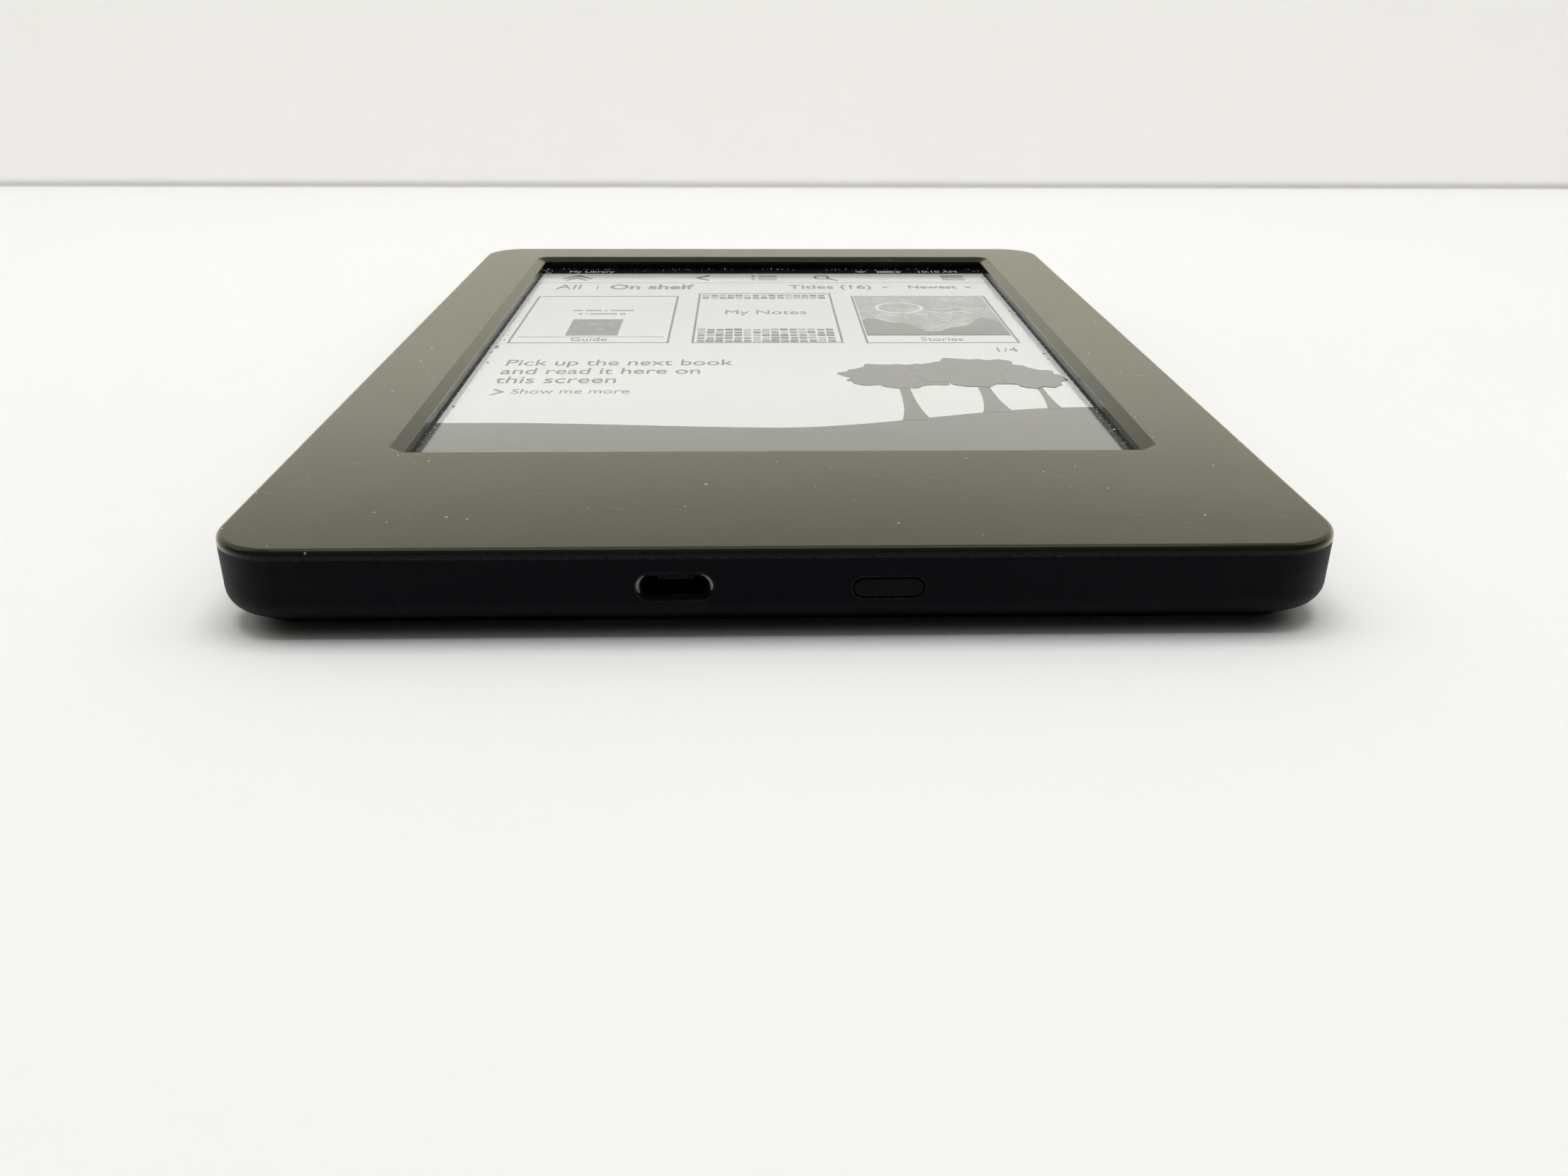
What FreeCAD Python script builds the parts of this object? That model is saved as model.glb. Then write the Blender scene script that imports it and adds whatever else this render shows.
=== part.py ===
import FreeCAD, Part
import math
import os
import re
import Sketcher
from FreeCAD import Vector

# A six-inch electronic reader with an infrared touch frame, lying on its back.
# Millimetres. +X is to the reader's right, +Y to its top edge and +Z out of the
# screen. The origin is the middle of the flat back.

SIZES = {
    # Case: plan size, depth, and the shape of its edges
    "case_wide": 119.0,
    "case_long": 169.0,
    "case_deep": 10.2,
    "case_round": 7.4,
    "wall": 1.25,
    "seam_level": 9.2,
    "under_run": 4.5,
    "under_rise": 2.9,
    "under_soft": 2.6,
    "back_soft": 1.2,
    "rim_soft": 0.7,
    # Window in the bezel, measured at the foot of its bevel
    "window_side": 46.46,
    "window_foot": 52.5,
    "window_head": 72.96,
    "window_round": 0.8,
    "window_bevel_run": 1.5,
    "window_bevel_drop": 0.78,
    # Lip and hooks that hold the bezel in the rear cover
    "lip_gap": 0.1,
    "lip_thick": 0.9,
    "lip_deep": 1.6,
    "hook_long": 5.0,
    "hook_foot": 6.75,
    "hook_barb": 0.5,
    "barb_tall": 0.6,
    "hook_slack": 0.15,
    "hook_upper": 44.0,
    "hook_lower": 48.0,
    "hook_across": 30.0,
    "chin_rib_thick": 0.8,
    "chin_rib_deep": 0.9,
    "chin_rib_side": 50.0,
    "chin_rib_upper": 74.0,
    "chin_rib_lower": 80.0,
    "chin_rib_pitch": 20.0,
    # Infrared light guide around the screen, and its seal
    "guide_level": 7.95,
    "guide_side": 50.8,
    "guide_foot": 64.8,
    "guide_head": 75.4,
    "guide_round": 1.0,
    "lens_radius": 1.6,
    "lens_stand": 0.3,
    "seal_start": 0.6,
    "seal_wide": 1.2,
    "seal_thick": 0.3,
    # Screen: the ink sheet on its glass backplane
    "screen_level": 7.93,
    "sheet_wide": 95.0,
    "sheet_long": 127.4,
    "sheet_thick": 0.45,
    "screen_middle": 10.2,
    "glass_side": 50.9,
    "glass_foot": 63.0,
    "glass_head": 75.4,
    "glass_thick": 0.7,
    "pad_thick": 0.38,
    "pad_wide": 5.0,
    "pad_long": 114.0,
    "pad_inner": 16.0,
    "pad_outer": 47.6,
    "pad_middle": 14.0,
    # Touch board, a ring around the screen, with its emitters and detectors
    "touch_level": 7.45,
    "touch_thick": 0.6,
    "touch_side": 51.2,
    "touch_foot": 65.3,
    "touch_head": 75.8,
    "touch_outer_side": 56.4,
    "touch_outer_foot": 70.0,
    "touch_outer_head": 81.6,
    "touch_round": 4.5,
    "diode_wide": 2.6,
    "diode_deep": 1.4,
    "diode_tall": 0.9,
    "diode_gap": 0.3,
    "diode_pitch": 8.0,
    "diode_start_x": -40.0,
    "diode_start_y": -45.8,
    # Midframe, the tray that carries the screen
    "frame_level": 5.6,
    "frame_floor": 6.4,
    "frame_side": 56.4,
    "frame_end": 82.0,
    "frame_round": 5.0,
    "tray_side": 51.4,
    "tray_foot": 65.2,
    "tray_head": 75.9,
    "chin_side": 48.0,
    "chin_head": 71.0,
    "relief_wide": 24.0,
    "relief_long": 36.0,
    "relief_round": 3.0,
    "relief_x": -32.0,
    "relief_y": -28.0,
    "relief_step_x": 32.0,
    "relief_step_y": 42.0,
    "flex_slot_left": -31.0,
    "flex_slot_right": -7.0,
    "flex_slot_head": 63.3,
    # Screws, bosses and ribs
    "screw_side": 53.2,
    "screw_top": 78.6,
    "screw_upper": 28.0,
    "screw_lower": -22.0,
    "screw_foot": -74.0,
    "boss_radius": 2.1,
    "pilot_radius": 0.6,
    "pilot_deep": 3.4,
    "screw_radius": 0.7,
    "screw_long": 3.0,
    "screw_hole": 0.85,
    "head_radius": 1.6,
    "head_tall": 0.8,
    "head_room": 2.0,
    "cross_long": 1.8,
    "cross_wide": 0.4,
    "cross_deep": 0.4,
    "floor_rib_thick": 0.8,
    "floor_rib_tall": 0.9,
    "floor_rib_side": 40.0,
    "floor_rib_end": 76.0,
    "floor_rib_pitch": 32.0,
    "fence_side": 28.5,
    "fence_foot": -22.6,
    "fence_head": 46.6,
    "fence_thick": 1.0,
    "fence_level": 2.4,
    # Main board
    "board_level": 3.75,
    "board_thick": 0.8,
    "board_side": 48.0,
    "board_foot": 82.4,
    "board_head": 46.0,
    "board_round": 1.5,
    "board_screw_side": 44.5,
    "board_screw_upper": -49.6,
    "board_screw_lower": -78.0,
    "board_hole": 0.85,
    "notch_side": 5.6,
    "notch_head": 81.0,
    # Charging port
    "port_x": -11.1,
    "port_z": 5.9,
    "port_wide": 8.2,
    "port_tall": 3.2,
    "port_bevel": 0.5,
    "shell_wide": 7.5,
    "shell_tall": 2.7,
    "shell_long": 5.2,
    "shell_thick": 0.25,
    "shell_corner": 0.8,
    "shell_setback": 1.3,
    "tongue_wide": 3.7,
    "tongue_tall": 0.6,
    "tongue_long": 4.1,
    "tongue_rise": 0.25,
    "contact_wide": 0.32,
    "contact_long": 3.4,
    "contact_tall": 0.12,
    "contact_pitch": 0.65,
    # Power button and its switch
    "button_x": 11.1,
    "button_z": 5.7,
    "button_wide": 7.3,
    "button_tall": 2.1,
    "button_gap": 0.15,
    "button_soft": 0.2,
    "button_deep": 1.3,
    "flange_wide": 9.6,
    "flange_tall": 3.2,
    "flange_thick": 0.7,
    "stem_wide": 3.0,
    "stem_tall": 1.6,
    "stem_long": 1.45,
    "switch_wide": 6.0,
    "switch_tall": 2.3,
    "switch_long": 3.6,
    "switch_face": 80.2,
    "plunger_wide": 2.6,
    "plunger_tall": 1.3,
    "plunger_long": 1.7,
    "plunger_tip": 81.0,
    "plunger_slack": 0.1,
    "plunger_well": 1.7,
    # Flexible circuits: x is the middle, each runs in the YZ plane
    "flex_thick": 0.12,
    "flex_bend": 0.9,
    "screen_flex_x": -19.0,
    "screen_flex_wide": 20.0,
    "screen_flex_start": -60.4,
    "screen_flex_drop": -64.2,
    "screen_flex_end": -67.6,
    "screen_flex_low": 5.02,
    "touch_flex_x": -36.0,
    "touch_flex_wide": 9.0,
    "touch_flex_start": -68.6,
    "touch_flex_drop": -71.9,
    "touch_flex_end": -75.4,
    "touch_flex_low": 5.02,
    "socket_slot": 0.2,
    "socket_slot_deep": 1.6,
    # Battery, its leads and the radio's cable
    "cell_y": 14.0,
    "cell_wide": 52.0,
    "cell_long": 62.0,
    "cell_level": 1.6,
    "cell_thick": 3.0,
    "cell_soft": 1.1,
    "lead_radius": 0.4,
    "lead_x": 20.8,
    "lead_pitch": 1.2,
    "lead_start": -20.9,
    "lead_low": 2.9,
    "lead_turn_low": -29.0,
    "lead_turn_high": -36.0,
    "lead_high": 5.05,
    "lead_end": -43.6,
    "aerial_start": -41.1,
    "aerial_turn": -46.5,
    "aerial_end": -50.9,
    "aerial_y": -53.5,
    "aerial_rise": 4.0,
    "aerial_level": 5.0,
    "can_thick": 0.2,
    "coil_pitch": 5.0,
    "capacitor_pitch": 3.2,
}

# Small parts: middle in x and y, underside level, then width, length and height
BLOCKS = {
    "display_driver": (-14.0, -57.4, 7.48, 24.0, 1.6, 0.3),
    "touch_chip": (47.6, -67.7, 8.05, 4.0, 3.4, 0.8),
    "processor": (-5.0, -55.0, 4.55, 14.0, 14.0, 0.9),
    "memory_chip": (-19.8, -55.0, 4.55, 11.5, 13.0, 0.8),
    "storage_chip": (9.8, -55.0, 4.55, 11.5, 13.0, 0.8),
    "power_chip": (22.4, -56.6, 4.55, 8.0, 8.0, 0.8),
    "panel_power_chip": (31.6, -55.4, 4.55, 6.0, 6.0, 0.8),
    "radio_chip": (-34.0, -56.5, 4.55, 8.0, 8.0, 0.6),
    "indicator_led": (18.4, -79.6, 4.55, 1.6, 0.8, 0.6),
    "antenna_carrier": (-53.4, -55.0, 3.9, 4.0, 22.0, 1.3),
    "antenna_strip": (-53.6, -55.0, 5.2, 3.0, 20.0, 0.15),
    "battery_tape": (0.0, 14.0, 1.25, 40.0, 50.0, 0.35),
    "battery_board": (16.0, -19.0, 2.5, 22.0, 3.8, 0.8),
    "battery_header": (22.0, -48.6, 4.55, 6.8, 3.2, 0.95),
    "battery_plug": (22.0, -45.3, 4.62, 5.6, 3.4, 0.86),
}

# Slotted sockets for the flexible circuits, with the same six numbers
SOCKETS = {
    "display_connector": (-19.0, -68.2, 4.55, 22.4, 4.2, 1.0),
    "touch_connector": (-36.0, -76.0, 4.55, 11.4, 3.6, 1.0),
}

FIELDS = ("x", "y", "z", "wide", "long", "tall")

SIDE_ROWS = ("screw_foot", "screw_lower", "screw_upper", "screw_top")
FRAME_SCREWS = [(side + "screw_side", row) for row in SIDE_ROWS for side in ("-", "")]
BOARD_SCREWS = [(side + "board_screw_side", row)
                for row in ("board_screw_lower", "board_screw_upper") for side in ("-", "")]

WORD = re.compile(r"[A-Za-z_]+")
NEAR = 1e-4

document = FreeCAD.newDocument("Reader")
sheet = document.addObject("Spreadsheet::Sheet", "Sizes")


def fill_sheet():
    """Put every size in the sheet as a plain number with its name as alias."""
    for table in (BLOCKS, SOCKETS):
        for name, numbers in table.items():
            for field, number in zip(FIELDS, numbers):
                SIZES[f"{name}_{field}"] = number
    for row, (name, number) in enumerate(SIZES.items(), start=1):
        sheet.set(f"A{row}", name)
        sheet.set(f"B{row}", str(number))
        sheet.setAlias(f"B{row}", name)
    document.recompute()


def number(expression):
    """Give the value of an expression written in the sheet's own names."""
    return float(sheet.evalExpression(expression))


def bound(expression):
    """Write an expression in the sheet's names so that another object can hold it."""
    return WORD.sub(lambda word: f"Sizes.{word.group()}" if word.group() in SIZES
                    else word.group(), expression)


def new_body(name):
    """Start a body that may hold several separate solids."""
    body = document.addObject("PartDesign::Body", name)
    body.Label = name
    body.AllowCompound = True
    return body


class Profile:
    """A sketch on one of its body's own planes, with every loop held by sizes."""

    def __init__(self, body, name, level="0", plane="XY_Plane"):
        self.sketch = body.newObject("Sketcher::SketchObject", name)
        origin_plane = next(f for f in body.Origin.OriginFeatures if f.Role == plane)
        self.sketch.AttachmentSupport = [(origin_plane, "")]
        self.sketch.MapMode = "FlatFace"
        self.sketch.setExpression("AttachmentOffset.Base.z", bound(level))

    def hold(self, kind, expression, *where):
        """Add one dimension and bind it to its expression."""
        index = self.sketch.addConstraint(
            Sketcher.Constraint(kind, *where, number(expression)))
        name = f"size_{index}"
        self.sketch.renameConstraint(index, name)
        self.sketch.setExpression(f"Constraints.{name}", bound(expression))

    def hold_sides(self, lines, left, right, low, high):
        """Place the top, left, bottom and right lines of a loop."""
        top_line, left_line, low_line, right_line = lines
        self.hold("DistanceX", left, -1, 1, left_line, 1)
        self.hold("DistanceX", right, -1, 1, right_line, 1)
        self.hold("DistanceY", low, -1, 1, low_line, 1)
        self.hold("DistanceY", high, -1, 1, top_line, 1)

    def box(self, left, right, low, high):
        """Draw a rectangle between two x and two y values."""
        x0, x1, y0, y1 = (number(e) for e in (left, right, low, high))
        corners = [Vector(x1, y1, 0), Vector(x0, y1, 0), Vector(x0, y0, 0), Vector(x1, y0, 0)]
        ends = zip(corners, corners[1:] + corners[:1])
        lines = [self.sketch.addGeometry(Part.LineSegment(a, b), False) for a, b in ends]
        for a, b in zip(lines, lines[1:] + lines[:1]):
            self.sketch.addConstraint(Sketcher.Constraint("Coincident", a, 2, b, 1))
        self.square(lines)
        self.hold_sides(lines, left, right, low, high)

    def middle_box(self, x, y, wide, tall):
        """Draw a rectangle around its middle."""
        self.box(f"{x} - {wide} / 2", f"{x} + {wide} / 2",
                 f"{y} - {tall} / 2", f"{y} + {tall} / 2")

    def square(self, lines):
        """Keep the first and third lines level and the others upright."""
        for place, line in enumerate(lines):
            kind = "Horizontal" if place % 2 == 0 else "Vertical"
            self.sketch.addConstraint(Sketcher.Constraint(kind, line))

    def round_box(self, left, right, low, high, corner):
        """Draw a rectangle with equal round corners."""
        x0, x1, y0, y1, radius = (number(e) for e in (left, right, low, high, corner))
        middles = [Vector(x1 - radius, y1 - radius, 0), Vector(x0 + radius, y1 - radius, 0),
                   Vector(x0 + radius, y0 + radius, 0), Vector(x1 - radius, y0 + radius, 0)]
        arcs, lines = [], []
        for turn, middle in enumerate(middles):
            circle = Part.Circle(middle, Vector(0, 0, 1), radius)
            start = turn * math.pi / 2
            arcs.append(self.sketch.addGeometry(
                Part.ArcOfCircle(circle, start, start + math.pi / 2), False))
        for turn, (a, b) in enumerate(zip(middles, middles[1:] + middles[:1])):
            angle = (turn + 1) * math.pi / 2
            out = Vector(math.cos(angle), math.sin(angle), 0) * radius
            lines.append(self.sketch.addGeometry(Part.LineSegment(a + out, b + out), False))
        for arc, line, next_arc in zip(arcs, lines, arcs[1:] + arcs[:1]):
            self.sketch.addConstraint(Sketcher.Constraint("Tangent", arc, 2, line, 1))
            self.sketch.addConstraint(Sketcher.Constraint("Tangent", line, 2, next_arc, 1))
        self.square(lines)
        for arc in arcs[1:]:
            self.sketch.addConstraint(Sketcher.Constraint("Equal", arcs[0], arc))
        self.hold("Radius", corner, arcs[0])
        self.hold_sides(lines, left, right, low, high)

    def stadium(self, x, y, wide, tall):
        """Draw a slot with half-round ends, wider than it is tall."""
        middle = Vector(number(x), number(y), 0)
        radius = number(tall) / 2
        reach = Vector(number(wide) / 2 - radius, 0, 0)
        rise = Vector(0, radius, 0)
        right = self.sketch.addGeometry(Part.ArcOfCircle(
            Part.Circle(middle + reach, Vector(0, 0, 1), radius), -math.pi / 2, math.pi / 2), False)
        top = self.sketch.addGeometry(
            Part.LineSegment(middle + reach + rise, middle - reach + rise), False)
        left = self.sketch.addGeometry(Part.ArcOfCircle(
            Part.Circle(middle - reach, Vector(0, 0, 1), radius),
            math.pi / 2, 3 * math.pi / 2), False)
        low = self.sketch.addGeometry(
            Part.LineSegment(middle - reach - rise, middle + reach - rise), False)
        loop = [right, top, left, low]
        for a, b in zip(loop, loop[1:] + loop[:1]):
            self.sketch.addConstraint(Sketcher.Constraint("Tangent", a, 2, b, 1))
        self.sketch.addConstraint(Sketcher.Constraint("Horizontal", top))
        self.hold("Radius", f"{tall} / 2", right)
        self.hold("DistanceX", f"{x} + {wide} / 2 - {tall} / 2", -1, 1, right, 3)
        self.hold("DistanceX", f"{x} - {wide} / 2 + {tall} / 2", -1, 1, left, 3)
        self.hold("DistanceY", y, -1, 1, right, 3)

    def circle(self, x, y, radius):
        """Draw a circle around its middle."""
        shape = Part.Circle(Vector(number(x), number(y), 0), Vector(0, 0, 1), number(radius))
        index = self.sketch.addGeometry(shape, False)
        self.hold("DistanceX", x, -1, 1, index, 3)
        self.hold("DistanceY", y, -1, 1, index, 3)
        self.hold("Radius", radius, index)

    def port_section(self, inset):
        """Draw the port's section: a rectangle with its two lower corners cut off."""
        half, low, high, cut = (f"(shell_wide / 2 - {inset})",
                                f"(port_z - shell_tall / 2 + {inset})",
                                f"(port_z + shell_tall / 2 - {inset})", "shell_corner")
        points = [(f"port_x + {half}", high), (f"port_x - {half}", high),
                  (f"port_x - {half}", f"{low} + {cut}"), (f"port_x - {half} + {cut}", low),
                  (f"port_x + {half} - {cut}", low), (f"port_x + {half}", f"{low} + {cut}")]
        corners = [Vector(number(x), number(y), 0) for x, y in points]
        lines = [self.sketch.addGeometry(Part.LineSegment(a, b), False)
                 for a, b in zip(corners, corners[1:] + corners[:1])]
        for a, b in zip(lines, lines[1:] + lines[:1]):
            self.sketch.addConstraint(Sketcher.Constraint("Coincident", a, 2, b, 1))
        for line, (x, y) in zip(lines, points):
            self.hold("DistanceX", x, -1, 1, line, 1)
            self.hold("DistanceY", y, -1, 1, line, 1)


def step(body, kind, name, profile, long, reverse=False):
    """Pad or pocket a profile, check that it changed the solid, and return it."""
    before = body.Shape.Volume if body.Tip and not body.Shape.isNull() else 0.0
    feature = body.newObject(kind, name)
    feature.Profile = profile.sketch
    feature.setExpression("Length", bound(long))
    feature.Reversed = reverse
    document.recompute()
    if abs(feature.Shape.Volume - before) < NEAR:
        raise RuntimeError(f"{body.Label}: {name} changes nothing")
    return feature


def pad(body, name, profile, long, reverse=False):
    """Grow a profile by a length."""
    return step(body, "PartDesign::Pad", name, profile, long, reverse)


def pocket(body, name, profile, long, reverse=False):
    """Cut a profile by a length."""
    return step(body, "PartDesign::Pocket", name, profile, long, reverse)


def pattern(body, name, feature, axis, pitch, count):
    """Repeat a feature along one of the body's own axes."""
    row = body.newObject("PartDesign::LinearPattern", name)
    row.Originals = [feature]
    row.Direction = (next(f for f in body.Origin.OriginFeatures if f.Role == axis), [""])
    row.Mode = "Spacing"
    row.setExpression("Offset", bound(pitch))
    row.Occurrences = count
    body.Tip = row
    document.recompute()
    return row


def edge_names(shape, wanted):
    """List the names of the edges whose bounding box passes a test."""
    return [f"Edge{place}" for place, edge in enumerate(shape.Edges, start=1)
            if wanted(edge.BoundBox)]


def at_level(low, high, level):
    """Say whether a range lies at one level."""
    return abs(low - level) < NEAR and abs(high - level) < NEAR


def soften(body, name, feature, edges, radius):
    """Round some edges of a feature."""
    fillet = body.newObject("PartDesign::Fillet", name)
    fillet.Base = (feature, edges)
    fillet.setExpression("Radius", bound(radius))
    document.recompute()
    return fillet


def bevel(body, name, feature, edges, first, second=None):
    """Cut some edges of a feature back, evenly or by two distances."""
    chamfer = body.newObject("PartDesign::Chamfer", name)
    chamfer.Base = (feature, edges)
    chamfer.setExpression("Size", bound(first))
    if second:
        chamfer.ChamferType = "Two distances"
        chamfer.setExpression("Size2", bound(second))
    document.recompute()
    return chamfer


def outline(profile, inset="0"):
    """Draw the case's plan, set in from the outside."""
    profile.round_box(f"-case_wide / 2 + {inset}", f"case_wide / 2 - {inset}",
                      f"-case_long / 2 + {inset}", f"case_long / 2 - {inset}",
                      f"case_round - {inset}")


def window(profile, spread="0"):
    """Draw the bezel's window, spread outwards."""
    profile.round_box(f"-window_side - {spread}", f"window_side + {spread}",
                      f"-window_foot - {spread}", f"window_head + {spread}",
                      f"window_round + {spread}")


# ---- Casing ----

def hook_rectangles(profile, inner, outer, grow="0"):
    """Draw the eight hooks' plan, between two distances in from the case's edge."""
    length = f"(hook_long + 2 * {grow})"
    for row in ("hook_upper", "-hook_lower"):
        low, high = f"{row} - {length} / 2", f"{row} + {length} / 2"
        profile.box(f"-case_wide / 2 + {outer}", f"-case_wide / 2 + {inner}", low, high)
        profile.box(f"case_wide / 2 - {inner}", f"case_wide / 2 - {outer}", low, high)
    for column in ("-hook_across", "hook_across"):
        left, right = f"{column} - {length} / 2", f"{column} + {length} / 2"
        profile.box(left, right, f"-case_long / 2 + {outer}", f"-case_long / 2 + {inner}")
        profile.box(left, right, f"case_long / 2 - {inner}", f"case_long / 2 - {outer}")


def rear_cover_shell(body):
    """Make the moulded tray: upright sides, sloping underside edges, flat back."""
    plan = Profile(body, "cover_plan")
    outline(plan)
    pad(body, "cover_block", plan, "seam_level")
    inside = Profile(body, "hollow_plan", "seam_level")
    outline(inside, "wall")
    hollow = pocket(body, "cover_hollow", inside, "seam_level - wall")
    floor = number("wall")
    foot = edge_names(hollow.Shape, lambda box: at_level(box.ZMin, box.ZMax, floor))
    slant = "sqrt(under_run ^ 2 + under_rise ^ 2)"
    inner = bevel(body, "hollow_slope", hollow, foot,
                  f"under_rise - wall + wall * ({slant} - under_rise) / under_run",
                  f"under_run - wall + wall * ({slant} - under_run) / under_rise")
    flat = edge_names(inner.Shape, lambda box: at_level(box.ZMin, box.ZMax, 0.0))
    slope = bevel(body, "cover_slope", inner, flat, "under_rise", "under_run")
    rise = number("under_rise")
    side = edge_names(slope.Shape, lambda box: at_level(box.ZMin, box.ZMax, rise))
    soft = soften(body, "cover_side_soft", slope, side, "under_soft")
    flat = edge_names(soft.Shape, lambda box: at_level(box.ZMin, box.ZMax, 0.0))
    soften(body, "cover_back_soft", soft, flat, "back_soft")


def rear_cover_bosses(body):
    """Add the screw bosses, board posts, battery fence and floor ribs."""
    bosses = Profile(body, "frame_bosses", "wall / 2")
    for x, y in FRAME_SCREWS:
        bosses.circle(x, y, "boss_radius")
    pad(body, "frame_boss", bosses, "frame_level - wall / 2")
    posts = Profile(body, "board_posts", "wall / 2")
    for x, y in BOARD_SCREWS:
        posts.circle(x, y, "boss_radius")
    pad(body, "board_post", posts, "board_level - wall / 2")
    fence = Profile(body, "fence_plan", "wall / 2")
    fence.box("-fence_side", "fence_side", "fence_foot", "fence_head")
    fence.box("-fence_side + fence_thick", "fence_side - fence_thick",
              "fence_foot + fence_thick", "fence_head - fence_thick")
    pad(body, "battery_fence", fence, "fence_level - wall / 2")
    long_ribs = Profile(body, "long_ribs", "wall / 2")
    for column in ("-floor_rib_side", "floor_rib_side"):
        long_ribs.middle_box(column, "0", "floor_rib_thick", "(2 * floor_rib_end)")
    pad(body, "long_rib", long_ribs, "wall / 2 + floor_rib_tall")
    for name, side in (("left", "-"), ("right", "")):
        cross = Profile(body, f"{name}_cross_ribs", "wall / 2")
        middle = f"{side}(fence_side + floor_rib_side) / 2"
        cross.middle_box(middle, "-floor_rib_pitch / 2", "(floor_rib_side - fence_side)",
                         "floor_rib_thick")
        cross.middle_box(middle, "floor_rib_pitch", "(floor_rib_side - fence_side)",
                         "floor_rib_thick")
        pad(body, f"{name}_cross_rib", cross, "wall / 2 + floor_rib_tall")
    pilots = Profile(body, "frame_pilots", "frame_level")
    for x, y in FRAME_SCREWS:
        pilots.circle(x, y, "pilot_radius")
    pocket(body, "frame_pilot", pilots, "pilot_deep")
    board_pilots = Profile(body, "board_pilots", "board_level")
    for x, y in BOARD_SCREWS:
        board_pilots.circle(x, y, "pilot_radius")
    pocket(body, "board_pilot", board_pilots, "board_level - wall")


def rear_cover_openings(body):
    """Cut the port, the button opening and the slots that hold the bezel's hooks."""
    slots = Profile(body, "hook_slots", "hook_foot + barb_tall + hook_slack")
    hook_rectangles(slots, "(wall + hook_slack)", "(wall - hook_barb - hook_slack + lip_gap)",
                    "hook_slack")
    pocket(body, "hook_slot", slots, "barb_tall + 2 * hook_slack")
    port = Profile(body, "port_plan", "case_long / 2", "XZ_Plane")
    port.stadium("port_x", "port_z", "(port_wide - 2 * port_bevel)",
                 "(port_tall - 2 * port_bevel)")
    throat = pocket(body, "port_throat", port, "wall + hook_slack")
    front, middle = -number("case_long / 2"), number("port_x")
    reach = number("port_wide / 2")
    rim = edge_names(throat.Shape, lambda box: at_level(box.YMin, box.YMax, front)
                     and box.XMin > middle - reach and box.XMax < middle + reach
                     and box.ZLength < number("port_tall"))
    bevel(body, "port_rim", throat, rim, "port_bevel")
    button = Profile(body, "button_plan", "case_long / 2", "XZ_Plane")
    button.stadium("button_x", "button_z", "(button_wide + 2 * button_gap)",
                   "(button_tall + 2 * button_gap)")
    pocket(body, "button_opening", button, "wall + hook_slack")


def make_rear_cover():
    """Build the rear cover."""
    body = new_body("rear_cover")
    rear_cover_shell(body)
    rear_cover_bosses(body)
    rear_cover_openings(body)


def bezel_face(body):
    """Make the bezel's face with a round rim and a bevelled window."""
    plan = Profile(body, "face_plan", "seam_level")
    outline(plan)
    window(plan)
    face = pad(body, "face_plate", plan, "case_deep - seam_level")
    top, side, head = number("case_deep"), number("window_side"), number("window_head")

    def on_window(box):
        return (max(abs(box.XMin), abs(box.XMax)) < side + 1.0
                and max(abs(box.YMin), abs(box.YMax)) < head + 1.0)

    rim = edge_names(face.Shape, lambda box: at_level(box.ZMin, box.ZMax, top)
                     and not on_window(box))
    soft = soften(body, "face_rim", face, rim, "rim_soft")
    hole = edge_names(soft.Shape, lambda box: at_level(box.ZMin, box.ZMax, top)
                      and on_window(box))
    bevel(body, "window_bevel", soft, hole, "window_bevel_run", "window_bevel_drop")


def bezel_back(body):
    """Add the lip inside the cover, its hooks, and the ribs behind the chin."""
    lip = Profile(body, "lip_plan", "seam_level")
    outline(lip, "(wall + lip_gap)")
    outline(lip, "(wall + lip_gap + lip_thick)")
    pad(body, "lip", lip, "lip_deep", reverse=True)
    hooks = Profile(body, "hook_plan", "seam_level")
    hook_rectangles(hooks, "(wall + lip_gap + lip_thick)", "(wall + lip_gap)")
    pad(body, "hook", hooks, "seam_level - hook_foot", reverse=True)
    barbs = Profile(body, "barb_plan", "hook_foot")
    hook_rectangles(barbs, "(wall + lip_gap + lip_thick)", "(wall + lip_gap - hook_barb)")
    pad(body, "barb", barbs, "barb_tall")
    for row in ("chin_rib_upper", "chin_rib_lower"):
        rib = Profile(body, f"{row}_plan", "seam_level")
        rib.middle_box("0", f"-{row}", "(2 * chin_rib_side)", "chin_rib_thick")
        pad(body, f"{row}_bar", rib, "chin_rib_deep", reverse=True)
    ties = Profile(body, "chin_tie_plan", "seam_level")
    ties.middle_box("-2 * chin_rib_pitch", "-(chin_rib_upper + chin_rib_lower) / 2",
                    "chin_rib_thick", "(chin_rib_lower - chin_rib_upper)")
    tie = pad(body, "chin_tie", ties, "chin_rib_deep", reverse=True)
    pattern(body, "chin_ties", tie, "X_Axis", "chin_rib_pitch", 5)


def make_front_bezel():
    """Build the front bezel."""
    body = new_body("front_bezel")
    bezel_face(body)
    bezel_back(body)


# ---- Screen and touch frame ----

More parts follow.
